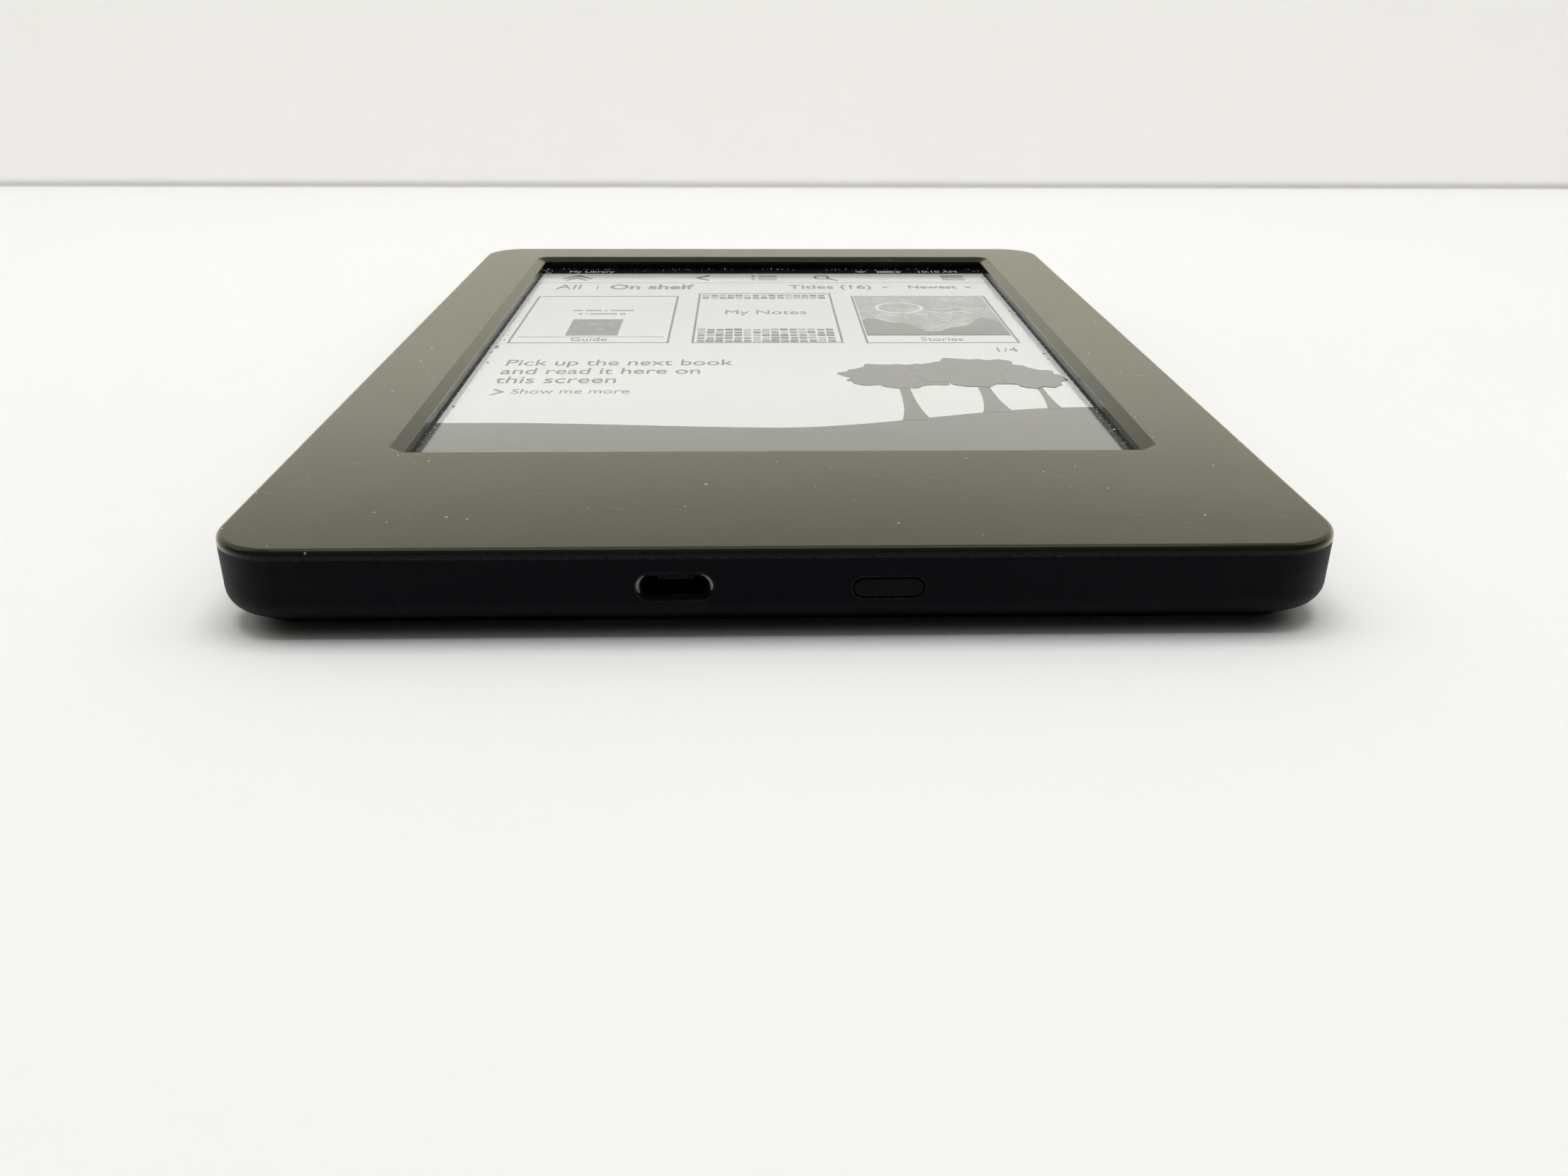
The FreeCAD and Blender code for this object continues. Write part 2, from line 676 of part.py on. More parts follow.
def make_light_guide():
    """Build the infrared light guide, whose inner wall is the window's glossy side."""
    body = new_body("light_guide_frame")
    plan = Profile(body, "guide_plan", "guide_level")
    plan.round_box("-guide_side", "guide_side", "-guide_foot", "guide_head", "guide_round")
    window(plan)
    pad(body, "guide_ring", plan, "seam_level - guide_level")
    groove = Profile(body, "groove_plan", "guide_level")
    window(groove, "seal_start")
    window(groove, "(seal_start + seal_wide)")
    pocket(body, "seal_groove", groove, "seal_thick", reverse=True)
    inward = "(lens_radius - lens_stand)"
    rows = Profile(body, "end_lens_plan", "guide_level")
    rows.circle("diode_start_x", f"-guide_foot + {inward}", "lens_radius")
    ends = pad(body, "end_lens", rows, "seam_level - guide_level")
    pattern(body, "foot_lenses", ends, "X_Axis", "diode_pitch", 11)
    tops = Profile(body, "head_lens_plan", "guide_level + seal_thick")
    tops.circle("diode_start_x", "guide_head + lens_stand - lens_radius / 2", "lens_radius / 2")
    heads = pad(body, "head_lens", tops, "seam_level - guide_level - seal_thick")
    pattern(body, "head_lenses", heads, "X_Axis", "diode_pitch", 11)
    sides = Profile(body, "side_lens_plan", "guide_level + seal_thick")
    sides.circle(f"-guide_side + {inward}", "diode_start_y", "lens_radius")
    sides.circle(f"guide_side - {inward}", "diode_start_y", "lens_radius")
    lens = pad(body, "side_lens", sides, "seam_level - guide_level - seal_thick")
    pattern(body, "side_lenses", lens, "Y_Axis", "diode_pitch", 15)


def make_dust_seal():
    """Build the foam ring between the light guide and the screen."""
    body = new_body("dust_seal")
    plan = Profile(body, "seal_plan", "screen_level")
    window(plan, "seal_start")
    window(plan, "(seal_start + seal_wide)")
    pad(body, "seal_ring", plan, "guide_level + seal_thick - screen_level")


def make_touch_board():
    """Build the ring-shaped board around the screen."""
    body = new_body("touch_board")
    plan = Profile(body, "touch_plan", "touch_level")
    plan.round_box("-touch_outer_side", "touch_outer_side", "-touch_outer_foot",
                   "touch_outer_head", "touch_round")
    plan.box("-touch_side", "touch_side", "-touch_foot", "touch_head")
    pad(body, "touch_ring", plan, "touch_thick")


def make_diodes(name, row_middle, column_middle):
    """Build a row of side-looking diodes along X and another along Y."""
    body = new_body(name)
    level = "touch_level + touch_thick"
    row = Profile(body, f"{name}_row_plan", level)
    row.middle_box("diode_start_x", row_middle, "diode_wide", "diode_deep")
    first = pad(body, f"{name}_row", row, "diode_tall")
    pattern(body, f"{name}_rows", first, "X_Axis", "diode_pitch", 11)
    column = Profile(body, f"{name}_column_plan", level)
    column.middle_box(column_middle, "diode_start_y", "diode_deep", "diode_wide")
    first = pad(body, f"{name}_column", column, "diode_tall")
    pattern(body, f"{name}_columns", first, "Y_Axis", "diode_pitch", 15)


def make_midframe():
    """Build the magnesium tray that carries the screen and the touch board."""
    body = new_body("midframe")
    plan = Profile(body, "frame_plan", "frame_level")
    plan.round_box("-frame_side", "frame_side", "-frame_end", "frame_end", "frame_round")
    pad(body, "frame_block", plan, "touch_level - frame_level")
    tray = Profile(body, "tray_plan", "touch_level")
    tray.box("-tray_side", "tray_side", "-tray_foot", "tray_head")
    pocket(body, "tray", tray, "touch_level - frame_floor")
    through = "touch_level - frame_level"
    chin = Profile(body, "chin_plan", "touch_level")
    chin.box("-chin_side", "chin_side", "-frame_end - 1", "-chin_head")
    pocket(body, "chin_opening", chin, through)
    slot = Profile(body, "slot_plan", "touch_level")
    slot.box("flex_slot_left", "flex_slot_right", "-tray_foot", "-flex_slot_head")
    pocket(body, "flex_slot", slot, through)
    rooms = Profile(body, "head_room_plan", "touch_level")
    holes = Profile(body, "frame_hole_plan", "touch_level")
    for x, y in FRAME_SCREWS:
        rooms.circle(x, y, "head_room")
        holes.circle(x, y, "screw_hole")
    pocket(body, "head_rooms", rooms, "touch_level - frame_floor")
    pocket(body, "frame_holes", holes, through)
    for column in range(3):
        relief = Profile(body, f"relief_plan_{column}", "touch_level")
        x, y = f"(relief_x + {column} * relief_step_x)", "relief_y"
        relief.round_box(f"{x} - relief_wide / 2", f"{x} + relief_wide / 2",
                         f"{y} - relief_long / 2", f"{y} + relief_long / 2", "relief_round")
        first = pocket(body, f"relief_{column}", relief, through)
        pattern(body, f"reliefs_{column}", first, "Y_Axis", "relief_step_y", 3)


def make_screen():
    """Build the ink sheet, its glass backplane and the foam pads under it."""
    block("epaper_sheet", "0", "screen_middle", "screen_level - sheet_thick",
          "sheet_wide", "sheet_long", "sheet_thick")
    block("tft_backplane", "0", "(glass_head - glass_foot) / 2",
          "screen_level - sheet_thick - glass_thick",
          "(2 * glass_side)", "(glass_head + glass_foot)", "glass_thick")
    body = new_body("display_pads")
    plan = Profile(body, "pad_plan", "frame_floor")
    for column in ("-pad_outer", "-pad_inner", "pad_inner", "pad_outer"):
        plan.middle_box(column, "pad_middle", "pad_wide", "pad_long")
    pad(body, "pads", plan, "pad_thick")


# ---- Electronics ----

def block(name, x, y, z, wide, long, tall):
    """Build a plain box around a middle in x and y, standing on a level."""
    box = document.addObject("Part::Box", name)
    box.Label = name
    for field, expression in (("Length", wide), ("Width", long), ("Height", tall),
                              ("Placement.Base.x", f"{x} - {wide} / 2"),
                              ("Placement.Base.y", f"{y} - {long} / 2"),
                              ("Placement.Base.z", z)):
        box.setExpression(field, bound(expression))
    return box


def make_blocks():
    """Build every chip and other small part that is a plain block."""
    for name in BLOCKS:
        block(name, *(f"{name}_{field}" for field in FIELDS))


def make_socket(name, entry):
    """Build a flexible circuit's socket with its slot on the side the flex enters."""
    shell = block(f"{name}_shell", *(f"{name}_{field}" for field in FIELDS))
    x, y, z, wide, long, _ = (f"{name}_{field}" for field in FIELDS)
    slot = block(f"{name}_slot", x, f"({y} + {long} / 2 - socket_slot_deep / 2)",
                 f"{entry} - socket_slot / 2", f"({wide} - 2 * socket_slot)",
                 "socket_slot_deep", "socket_slot")
    cut = document.addObject("Part::Cut", name)
    cut.Label = name
    cut.Base = shell
    cut.Tool = slot


def make_main_board():
    """Build the main board with its screw holes and the notch behind the button."""
    body = new_body("main_board")
    plan = Profile(body, "board_plan", "board_level")
    plan.round_box("-board_side", "board_side", "-board_foot", "-board_head", "board_round")
    pad(body, "board_plate", plan, "board_thick")
    holes = Profile(body, "board_hole_plan", "board_level + board_thick")
    for x, y in BOARD_SCREWS:
        holes.circle(x, y, "board_hole")
    holes.box("button_x - notch_side", "button_x + notch_side", "-board_foot - 1",
              "-notch_head")
    pocket(body, "board_cuts", holes, "board_thick")


def make_screws(name, places, seat):
    """Build cross-head screws whose heads sit on a level."""
    body = new_body(name)
    shanks = Profile(body, f"{name}_shank_plan", seat)
    heads = Profile(body, f"{name}_head_plan", seat)
    crosses = Profile(body, f"{name}_cross_plan", f"{seat} + head_tall")
    bars = Profile(body, f"{name}_bar_plan", f"{seat} + head_tall")
    for x, y in places:
        shanks.circle(x, y, "screw_radius")
        heads.circle(x, y, "head_radius")
        crosses.middle_box(x, y, "cross_long", "cross_wide")
        bars.middle_box(x, y, "cross_wide", "cross_long")
    pad(body, f"{name}_shanks", shanks, "screw_long", reverse=True)
    pad(body, f"{name}_heads", heads, "head_tall")
    pocket(body, f"{name}_crosses", crosses, "cross_deep")
    pocket(body, f"{name}_bars", bars, "cross_deep")


def make_port():
    """Build the charging receptacle: folded shell, tongue and five contacts."""
    mouth = "case_long / 2 - shell_setback"
    body = new_body("port_shell")
    outer = Profile(body, "shell_plan", mouth, "XZ_Plane")
    outer.port_section("0")
    pad(body, "shell_tube", outer, "shell_long", reverse=True)
    inner = Profile(body, "shell_inner_plan", mouth, "XZ_Plane")
    inner.port_section("shell_thick")
    pocket(body, "shell_hollow", inner, "shell_long - shell_thick")
    level = "(port_z + tongue_rise)"
    end = "(-case_long / 2 + shell_setback + shell_long - shell_thick)"
    block("port_tongue", "port_x", f"({end} - tongue_long / 2)", f"{level} - tongue_tall / 2",
          "tongue_wide", "tongue_long", "tongue_tall")
    contacts = new_body("port_contacts")
    plan = Profile(contacts, "contact_plan", f"{level} - tongue_tall / 2")
    plan.middle_box("port_x - 2 * contact_pitch", f"({end} - contact_long / 2)",
                    "contact_wide", "contact_long")
    first = pad(contacts, "contact", plan, "contact_tall", reverse=True)
    pattern(contacts, "contact_row", first, "X_Axis", "contact_pitch", 5)


def make_shield():
    """Build the folded can over the radio."""
    body = new_body("rf_shield")
    level, tall = "board_level + board_thick", "(frame_level - board_level - board_thick - 0.1)"
    plan = Profile(body, "can_plan", level)
    x, y, wide = "radio_chip_x", "radio_chip_y", "(radio_chip_wide + 6)"
    plan.middle_box(x, y, wide, wide)
    pad(body, "can_block", plan, tall)
    inside = Profile(body, "can_inside", level)
    inside.middle_box(x, y, f"({wide} - 2 * can_thick)", f"({wide} - 2 * can_thick)")
    pocket(body, "can_hollow", inside, f"{tall} - can_thick", reverse=True)


def make_row(name, x, y, size, pitch, count):
    """Build a row of square parts on the main board."""
    body = new_body(name)
    plan = Profile(body, f"{name}_plan", "board_level + board_thick")
    plan.middle_box(x, y, size, size)
    first = pad(body, f"{name}_first", plan, f"{size} / 2")
    pattern(body, f"{name}_row", first, "X_Axis", pitch, count)


def make_battery_cell():
    """Build the pouch cell with soft long edges."""
    body = new_body("battery_cell")
    plan = Profile(body, "cell_plan", "cell_level")
    plan.middle_box("0", "cell_y", "cell_wide", "cell_long")
    cell = pad(body, "cell_block", plan, "cell_thick")
    reach = number("cell_long")
    long_edges = edge_names(cell.Shape, lambda box: abs(box.YLength - reach) < NEAR)
    soften(body, "cell_soft_edges", cell, long_edges, "cell_soft")


# ---- Power button ----

def make_button():
    """Build the keycap with the flange that keeps it in and its stem."""
    body = new_body("power_button")
    face = Profile(body, "cap_plan", "case_long / 2", "XZ_Plane")
    face.stadium("button_x", "button_z", "button_wide", "button_tall")
    cap = pad(body, "cap", face, "button_deep", reverse=True)
    front = -number("case_long / 2")
    rim = edge_names(cap.Shape, lambda box: at_level(box.YMin, box.YMax, front))
    soften(body, "cap_rim", cap, rim, "button_soft")
    flange = Profile(body, "flange_plan", "case_long / 2 - button_deep", "XZ_Plane")
    flange.middle_box("button_x", "button_z", "flange_wide", "flange_tall")
    pad(body, "flange", flange, "flange_thick", reverse=True)
    stem = Profile(body, "stem_plan", "case_long / 2 - button_deep - flange_thick", "XZ_Plane")
    stem.middle_box("button_x", "button_z", "stem_wide", "stem_tall")
    pad(body, "stem", stem, "stem_long", reverse=True)


def make_switch():
    """Build the switch body with its well, and the plunger that slides in it."""
    body = new_body("switch_body")
    face = Profile(body, "switch_plan", "switch_face", "XZ_Plane")
    face.middle_box("button_x", "button_z", "switch_wide", "switch_tall")
    pad(body, "switch_block", face, "switch_long", reverse=True)
    well = Profile(body, "well_plan", "switch_face", "XZ_Plane")
    well.middle_box("button_x", "button_z", "(plunger_wide + 2 * plunger_slack)",
                    "(plunger_tall + 2 * plunger_slack)")
    pocket(body, "well", well, "plunger_well")
    plunger = new_body("switch_plunger")
    tip = Profile(plunger, "plunger_plan", "plunger_tip", "XZ_Plane")
    tip.middle_box("button_x", "button_z", "plunger_wide", "plunger_tall")
    pad(plunger, "plunger_bar", tip, "plunger_long", reverse=True)


# ---- Flexible circuits and leads ----

def bent_path(points, radius):
    """Join points by straight runs, with a tangent arc at each inner point."""
    edges, start = [], points[0]
    for before, corner, after in zip(points, points[1:], points[2:]):
        back = (before - corner).normalize()
        ahead = (after - corner).normalize()
        angle = back.getAngle(ahead)
        reach = radius / math.tan(angle / 2)
        middle_way = (back + ahead).normalize()
        middle = corner + middle_way * (radius / math.sin(angle / 2) - radius)
        first, last = corner + back * reach, corner + ahead * reach
        edges.append(Part.LineSegment(start, first).toShape())
        edges.append(Part.Arc(first, middle, last).toShape())
        start = last
    edges.append(Part.LineSegment(start, points[-1]).toShape())
    return Part.Wire(edges)


def keep_shape(name, shape):
    """Put a finished shape in the document under a node's name."""
    feature = document.addObject("Part::Feature", name)
    feature.Label = name
    feature.Shape = shape
    feature.Placement = FreeCAD.Placement()


def make_flex(name, top):
    """Build a flexible circuit that steps down from one level to another."""
    x, wide, thick = number(f"{name}_x"), number(f"{name}_wide"), number("flex_thick")
    start, drop, end = (number(f"{name}_{place}") for place in ("start", "drop", "end"))
    high, low = number(top) + thick / 2, number(f"{name}_low")
    left = x - wide / 2
    points = [Vector(left, start, high), Vector(left, drop, high), Vector(left, drop, low),
              Vector(left, end, low)]
    path = bent_path(points, number("flex_bend"))
    half = Vector(0, 0, thick / 2)
    across = Vector(wide, 0, 0)
    corners = [points[0] - half, points[0] + half, points[0] + half + across,
               points[0] - half + across]
    section = Part.makePolygon(corners + corners[:1])
    keep_shape(name, path.makePipeShell([section], True, False))


def round_lead(points, radius, bend):
    """Sweep a round section along a bent path."""
    path = bent_path(points, bend)
    way = (points[1] - points[0]).normalize()
    section = Part.Wire([Part.makeCircle(radius, points[0], way)])
    return path.makePipeShell([section], True, False)


def make_battery_leads():
    """Build the three leads from the battery's board up to its plug."""
    radius, bend = number("lead_radius"), number("lead_radius * 5")
    low, high = number("lead_low"), number("lead_high")
    leads = []
    for place in range(3):
        x = number(f"lead_x + {place} * lead_pitch")
        points = [Vector(x, number("lead_start"), low), Vector(x, number("lead_turn_low"), low),
                  Vector(x, number("lead_turn_high"), high), Vector(x, number("lead_end"), high)]
        leads.append(round_lead(points, radius, bend))
    keep_shape("battery_leads", Part.makeCompound(leads))


def make_antenna_cable():
    """Build the short coaxial cable from the radio to the antenna."""
    y, level = number("aerial_y"), number("aerial_level")
    points = [Vector(number("aerial_start"), y, level), Vector(number("aerial_turn"), y, level),
              Vector(number("aerial_end"), y + number("aerial_rise"), level)]
    bend = number("lead_radius * 5")
    keep_shape("antenna_cable", round_lead(points, number("lead_radius"), bend))


# ---- Document ----

def build():
    """Build every sub-part in the document."""
    fill_sheet()
    make_rear_cover()
    make_front_bezel()
    make_light_guide()
    make_dust_seal()
    make_screen()
    make_touch_board()
    make_diodes("ir_emitters", "-guide_foot - lens_stand - diode_gap - diode_deep / 2",
                "guide_side + lens_stand + diode_gap + diode_deep / 2")
    make_diodes("ir_detectors", "guide_head + lens_stand + diode_gap + diode_deep / 2",
                "-guide_side - lens_stand - diode_gap - diode_deep / 2")
    make_midframe()
    make_main_board()
    make_blocks()
    make_socket("display_connector", "screen_flex_low")
    make_socket("touch_connector", "touch_flex_low")
    make_screws("frame_screws", FRAME_SCREWS, "frame_floor")
    make_screws("board_screws", BOARD_SCREWS, "board_level + board_thick")
    make_port()
    make_shield()
    make_row("inductors", "power_chip_x", "-62.6", "1.8", "coil_pitch", 4)
    make_row("capacitors", "memory_chip_x", "-63.2", "0.9", "capacitor_pitch", 11)
    make_battery_cell()
    make_button()
    make_switch()
    make_flex("screen_flex", "screen_level - sheet_thick")
    make_flex("touch_flex", "touch_level + touch_thick")
    make_battery_leads()
    make_antenna_cable()
    document.recompute()


def sub_parts():
    """List the finished sub-parts, leaving out what another object is made from."""
    kinds = ("PartDesign::Body", "Part::Box", "Part::Cut", "Part::Feature")
    return [item for item in document.Objects
            if item.TypeId in kinds and not any(user.TypeId == "Part::Cut"
                                                for user in item.InList)]


def check():
    """Stop if any object has failed, or any sub-part's shape is missing or broken."""
    for item in document.Objects:
        if {"Invalid", "Error"} & set(item.State):
            raise RuntimeError(f"{item.Label} has failed: {item.State}")
    for part in sub_parts():
        if part.Shape.isNull() or not part.Shape.isValid() or not part.Shape.Solids:
            raise RuntimeError(f"{part.Label} has no valid solid")


def write():
    """Write each sub-part to a file of its own name."""
    os.makedirs("parts", exist_ok=True)
    for part in sub_parts():
        part.Shape.exportStep(f"parts/{part.Label}.step")
        box = part.Shape.BoundBox
        print(f"{part.Label}: {len(part.Shape.Solids)} solid(s), {part.Shape.Volume:.1f} mm3, "
              f"x {box.XMin:.2f}..{box.XMax:.2f} y {box.YMin:.2f}..{box.YMax:.2f} "
              f"z {box.ZMin:.2f}..{box.ZMax:.2f}")


build()
check()
write()
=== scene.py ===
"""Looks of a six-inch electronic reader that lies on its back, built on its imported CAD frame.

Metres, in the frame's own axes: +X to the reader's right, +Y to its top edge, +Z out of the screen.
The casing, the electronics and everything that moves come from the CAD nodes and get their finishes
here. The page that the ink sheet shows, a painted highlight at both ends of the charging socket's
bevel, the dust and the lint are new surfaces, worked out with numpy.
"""

import logging
import math
from dataclasses import dataclass, field
from enum import Enum
from typing import Any, Iterable, Sequence

import bmesh
import bpy
import numpy as np
from mathutils import Matrix, Vector


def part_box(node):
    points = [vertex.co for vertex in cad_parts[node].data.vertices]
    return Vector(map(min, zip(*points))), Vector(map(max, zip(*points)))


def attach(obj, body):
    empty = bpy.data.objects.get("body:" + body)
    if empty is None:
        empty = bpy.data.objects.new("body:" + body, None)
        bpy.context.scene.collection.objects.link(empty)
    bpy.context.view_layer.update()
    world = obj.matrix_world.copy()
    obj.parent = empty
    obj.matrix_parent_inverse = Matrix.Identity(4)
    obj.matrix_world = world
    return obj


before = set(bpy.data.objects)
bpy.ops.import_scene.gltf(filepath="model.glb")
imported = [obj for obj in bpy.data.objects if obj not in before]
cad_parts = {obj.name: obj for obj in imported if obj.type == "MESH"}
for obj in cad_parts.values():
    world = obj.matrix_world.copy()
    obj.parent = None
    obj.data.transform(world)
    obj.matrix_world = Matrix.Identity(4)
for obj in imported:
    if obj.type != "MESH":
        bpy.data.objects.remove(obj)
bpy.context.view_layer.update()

MM = 0.001
INK_THICK = 0.012 * MM  # thickness of a mark on the page
LETTER_HALF = 0.5  # half the thickness that letters are made with, before they are flattened
LETTER_MIDDLE = 0.25  # half way up a lower-case letter, as a share of the letter size
LETTER_TALL = 1.25  # how far the letters are drawn upwards
MERGE_REACH = 1e-5  # points closer than this are one point
UNIT = (0.0, 1.0)  # from none of an effect to all of it
Colour = tuple[float, float, float]
log = logging.getLogger("reader")


class Body(Enum):
    """The rigid bodies that a piece can ride on."""

    CASE = "case"
    BUTTON = "button"
    PLUNGER = "plunger"


# ---------------------------------------------------------------------------------------------
# Closed surfaces


@dataclass
class Solid:
    """A closed surface: its points, and its faces as lists of point numbers that face outwards."""

    points: np.ndarray
    faces: list[list[int]]

    @classmethod
    def join(cls, solids: Iterable["Solid"]) -> "Solid":
        """Several solids as one.

        Args:
            solids: The solids to put together, each of them closed.

        Returns:
            One solid that holds them all.
        """
        points: list[np.ndarray] = []
        faces: list[list[int]] = []
        start = 0
        for solid in solids:
            points.append(solid.points)
            faces.extend([[corner + start for corner in face] for face in solid.faces])
            start += len(solid.points)
        return cls(np.concatenate(points), faces)


def prism(outline: np.ndarray, low: float, high: float) -> Solid:
    """A flat block: the outline at two levels, with a wall of one quad for each side of it.

    Args:
        outline: Points of the outline, anticlockwise, one row each.
        low: Level of the underside.
        high: Level of the top.

    Returns:
        The closed block.
    """
    count = len(outline)
    here = np.arange(count)
    after = np.roll(here, -1)
    levels = np.repeat([low, high], count)[:, None]
    points = np.hstack([np.vstack([outline, outline]), levels])
    walls = np.stack([here, after, after + count, here + count], axis=1)
    return Solid(points, [here[::-1].tolist(), (here + count).tolist(), *walls.tolist()])


def band(outer: np.ndarray, inner: np.ndarray, low: float, high: float) -> Solid:
    """A flat ring between two outlines of as many points, as four strips of quads.

    Args:
        outer: The outer outline, anticlockwise.
        inner: The inner outline, anticlockwise, point for point beside the outer one.
        low: Level of the underside.
        high: Level of the top.

    Returns:
        The closed ring.
    """
    count = len(outer)
    here = np.arange(count)
    after = np.roll(here, -1)
    loops = [(outer, low), (outer, high), (inner, high), (inner, low)]
    points = np.vstack([np.column_stack([line, np.full(count, level)]) for line, level in loops])
    quads = [
        np.stack([here + a * count, after + a * count, after + b * count, here + b * count], axis=1)
        for a, b in ((0, 1), (1, 2), (2, 3), (3, 0))
    ]
    return Solid(points, np.vstack(quads).tolist())


def rectangle(left: float, low: float, right: float, high: float) -> np.ndarray:
    """The four corners of an upright rectangle, anticlockwise."""
    return np.array([[left, low], [right, low], [right, high], [left, high]])


def ellipse(middle: Sequence[float], reach: Sequence[float], count: int = 40) -> np.ndarray:
    """Points at equal turns t of (x + a cos t, y + b sin t).

    Args:
        middle: Centre of the ellipse.
        reach: Its half widths a and b.
        count: Number of points.

    Returns:
        The outline, anticlockwise.
    """
    turn = np.linspace(0.0, 2.0 * np.pi, count, endpoint=False)
    return np.column_stack([middle[0] + reach[0] * np.cos(turn), middle[1] + reach[1] * np.sin(turn)])


def stroke(line: Sequence[Sequence[float]], width: float) -> np.ndarray:
    """The outline of a pen stroke: each point moved half the width to both sides along its mitre.

    The mitre at a corner is the mean of the normals of its two runs, made longer by one over the
    cosine of half the turn, so that the stroke keeps its width.

    Args:
        line: Points of the middle line.
        width: Width of the stroke.

    Returns:
        The outline, anticlockwise.
    """
    middle = np.asarray(line, float)
    runs = np.diff(middle, axis=0)
    runs /= np.linalg.norm(runs, axis=1, keepdims=True)
    normals = np.column_stack([-runs[:, 1], runs[:, 0]])
    mitres = np.vstack([normals[:1], normals[:-1] + normals[1:], normals[-1:]])
    mitres /= np.linalg.norm(mitres, axis=1, keepdims=True)
    reference = np.vstack([normals[:1], normals])
    mitres /= np.sum(mitres * reference, axis=1, keepdims=True)
    side = mitres * width / 2.0
    return np.vstack([middle - side, (middle + side)[::-1]])


def arc(middle: Sequence[float], radius: float, start: float, end: float, count: int = 16) -> np.ndarray:
    """Points along an arc, between two angles in degrees."""
    turn = np.radians(np.linspace(start, end, count))
    return np.column_stack([middle[0] + radius * np.cos(turn), middle[1] + radius * np.sin(turn)])


def scatter(shape: Solid, places: np.ndarray, reach: np.ndarray, turns: np.ndarray) -> Solid:
    """Copies of one shape: each point is stretched by the copy's reach, turned about Z and moved.

    Args:
        shape: The shape to copy, about the origin.
        places: Middle of each copy, one row each.
        reach: Stretch of each copy along the three axes.
        turns: Turn of each copy about Z, in radians.

    Returns:
        All the copies as one solid.
    """
    stretched = shape.points[None] * reach[:, None]
    cos, sin = np.cos(turns)[:, None], np.sin(turns)[:, None]
    x = stretched[..., 0] * cos - stretched[..., 1] * sin
    y = stretched[..., 0] * sin + stretched[..., 1] * cos
    points = np.stack([x, y, stretched[..., 2]], axis=-1) + places[:, None]
    starts = (np.arange(len(places)) * len(shape.points))[:, None, None]
    faces = np.asarray(shape.faces)[None] + starts
    return Solid(points.reshape(-1, 3), faces.reshape(-1, faces.shape[-1]).tolist())


def solid_of(mesh: bmesh.types.BMesh) -> Solid:
    """The surface that an editable mesh holds.

    Args:
        mesh: The editable mesh.

    Returns:
        Its points and faces.
    """
    mesh.verts.index_update()
    points = np.array([vert.co for vert in mesh.verts])
    return Solid(points, [[vert.index for vert in face.verts] for face in mesh.faces])


def flake() -> Solid:
    """A speck of dust: the twelve points (0, 1, golden ratio) with either sign and in each turn.

    Returns:
        The closed hull of the points, which are one away from its middle.
    """
    golden = (1.0 + math.sqrt(5.0)) / 2.0
    one, two = np.array([-1.0, 1.0]), np.array([-golden, golden])
    corners = np.array([(0.0, a, b) for a in one for b in two])
    points = np.vstack([np.roll(corners, step, axis=1) for step in range(3)])
    mesh = bmesh.new()
    for point in points / math.hypot(1.0, golden):
        mesh.verts.new(point)
    bmesh.ops.convex_hull(mesh, input=mesh.verts)
    bmesh.ops.recalc_face_normals(mesh, faces=mesh.faces)
    solid = solid_of(mesh)
    mesh.free()
    return solid


def threads(lines: np.ndarray, radius: float, sides: int = 5) -> Solid:
    """Thin round threads: a circle carried along each line, square to it.

    At each point the circle lies in the plane of two vectors square to the line's direction, which
    are its cross products with the upright, and both ends are closed by a flat cap.

    Args:
        lines: Points of the lines, as line by point by coordinate.
        radius: Radius of a thread.
        sides: Number of sides round it.

    Returns:
        All the threads as one solid.
    """
    lots, steps = lines.shape[:2]
    ahead = np.gradient(lines, axis=1)
    ahead /= np.linalg.norm(ahead, axis=2, keepdims=True)
    across = np.cross(ahead, [0.0, 0.0, 1.0])
    across /= np.linalg.norm(across, axis=2, keepdims=True)
    above = np.cross(across, ahead)
    turn = np.linspace(0.0, 2.0 * np.pi, sides, endpoint=False)
    around = across[:, :, None] * np.cos(turn)[:, None] + above[:, :, None] * np.sin(turn)[:, None]
    points = (lines[:, :, None] + radius * around).reshape(-1, 3)
    ring = np.arange(sides)
    step, side = np.meshgrid(np.arange(steps - 1), ring, indexing="ij")
    near = side + step * sides
    beside = (side + 1) % sides + step * sides
    wall = np.stack([near, near + sides, beside + sides, beside], axis=-1).reshape(-1, 4)
    starts = np.arange(lots) * steps * sides
    faces = (wall[None] + starts[:, None, None]).reshape(-1, 4).tolist()
    faces += (ring[None] + starts[:, None]).tolist()
    faces += (ring[::-1][None] + starts[:, None] + (steps - 1) * sides).tolist()
    return Solid(points, faces)


def surface(
    name: str, points: np.ndarray, faces: list[list[int]], smooth: bool, material: bpy.types.Material
) -> bpy.types.Object:
    """Puts a mesh in the scene.

    Args:
        name: Name of the mesh and of its object.
        points: Its points, in metres.
        faces: Its faces, as lists of point numbers.
        smooth: Whether the faces shade as one curved surface.
        material: What it is made of.

    Returns:
        The object.
    """
    mesh = bpy.data.meshes.new(name)
    mesh.from_pydata(points, [], faces)
    mesh.polygons.foreach_set("use_smooth", np.full(len(mesh.polygons), smooth))
    mesh.validate()
    mesh.update()
    mesh.materials.append(material)
    piece = bpy.data.objects.new(name, mesh)
    bpy.context.scene.collection.objects.link(piece)
    return piece


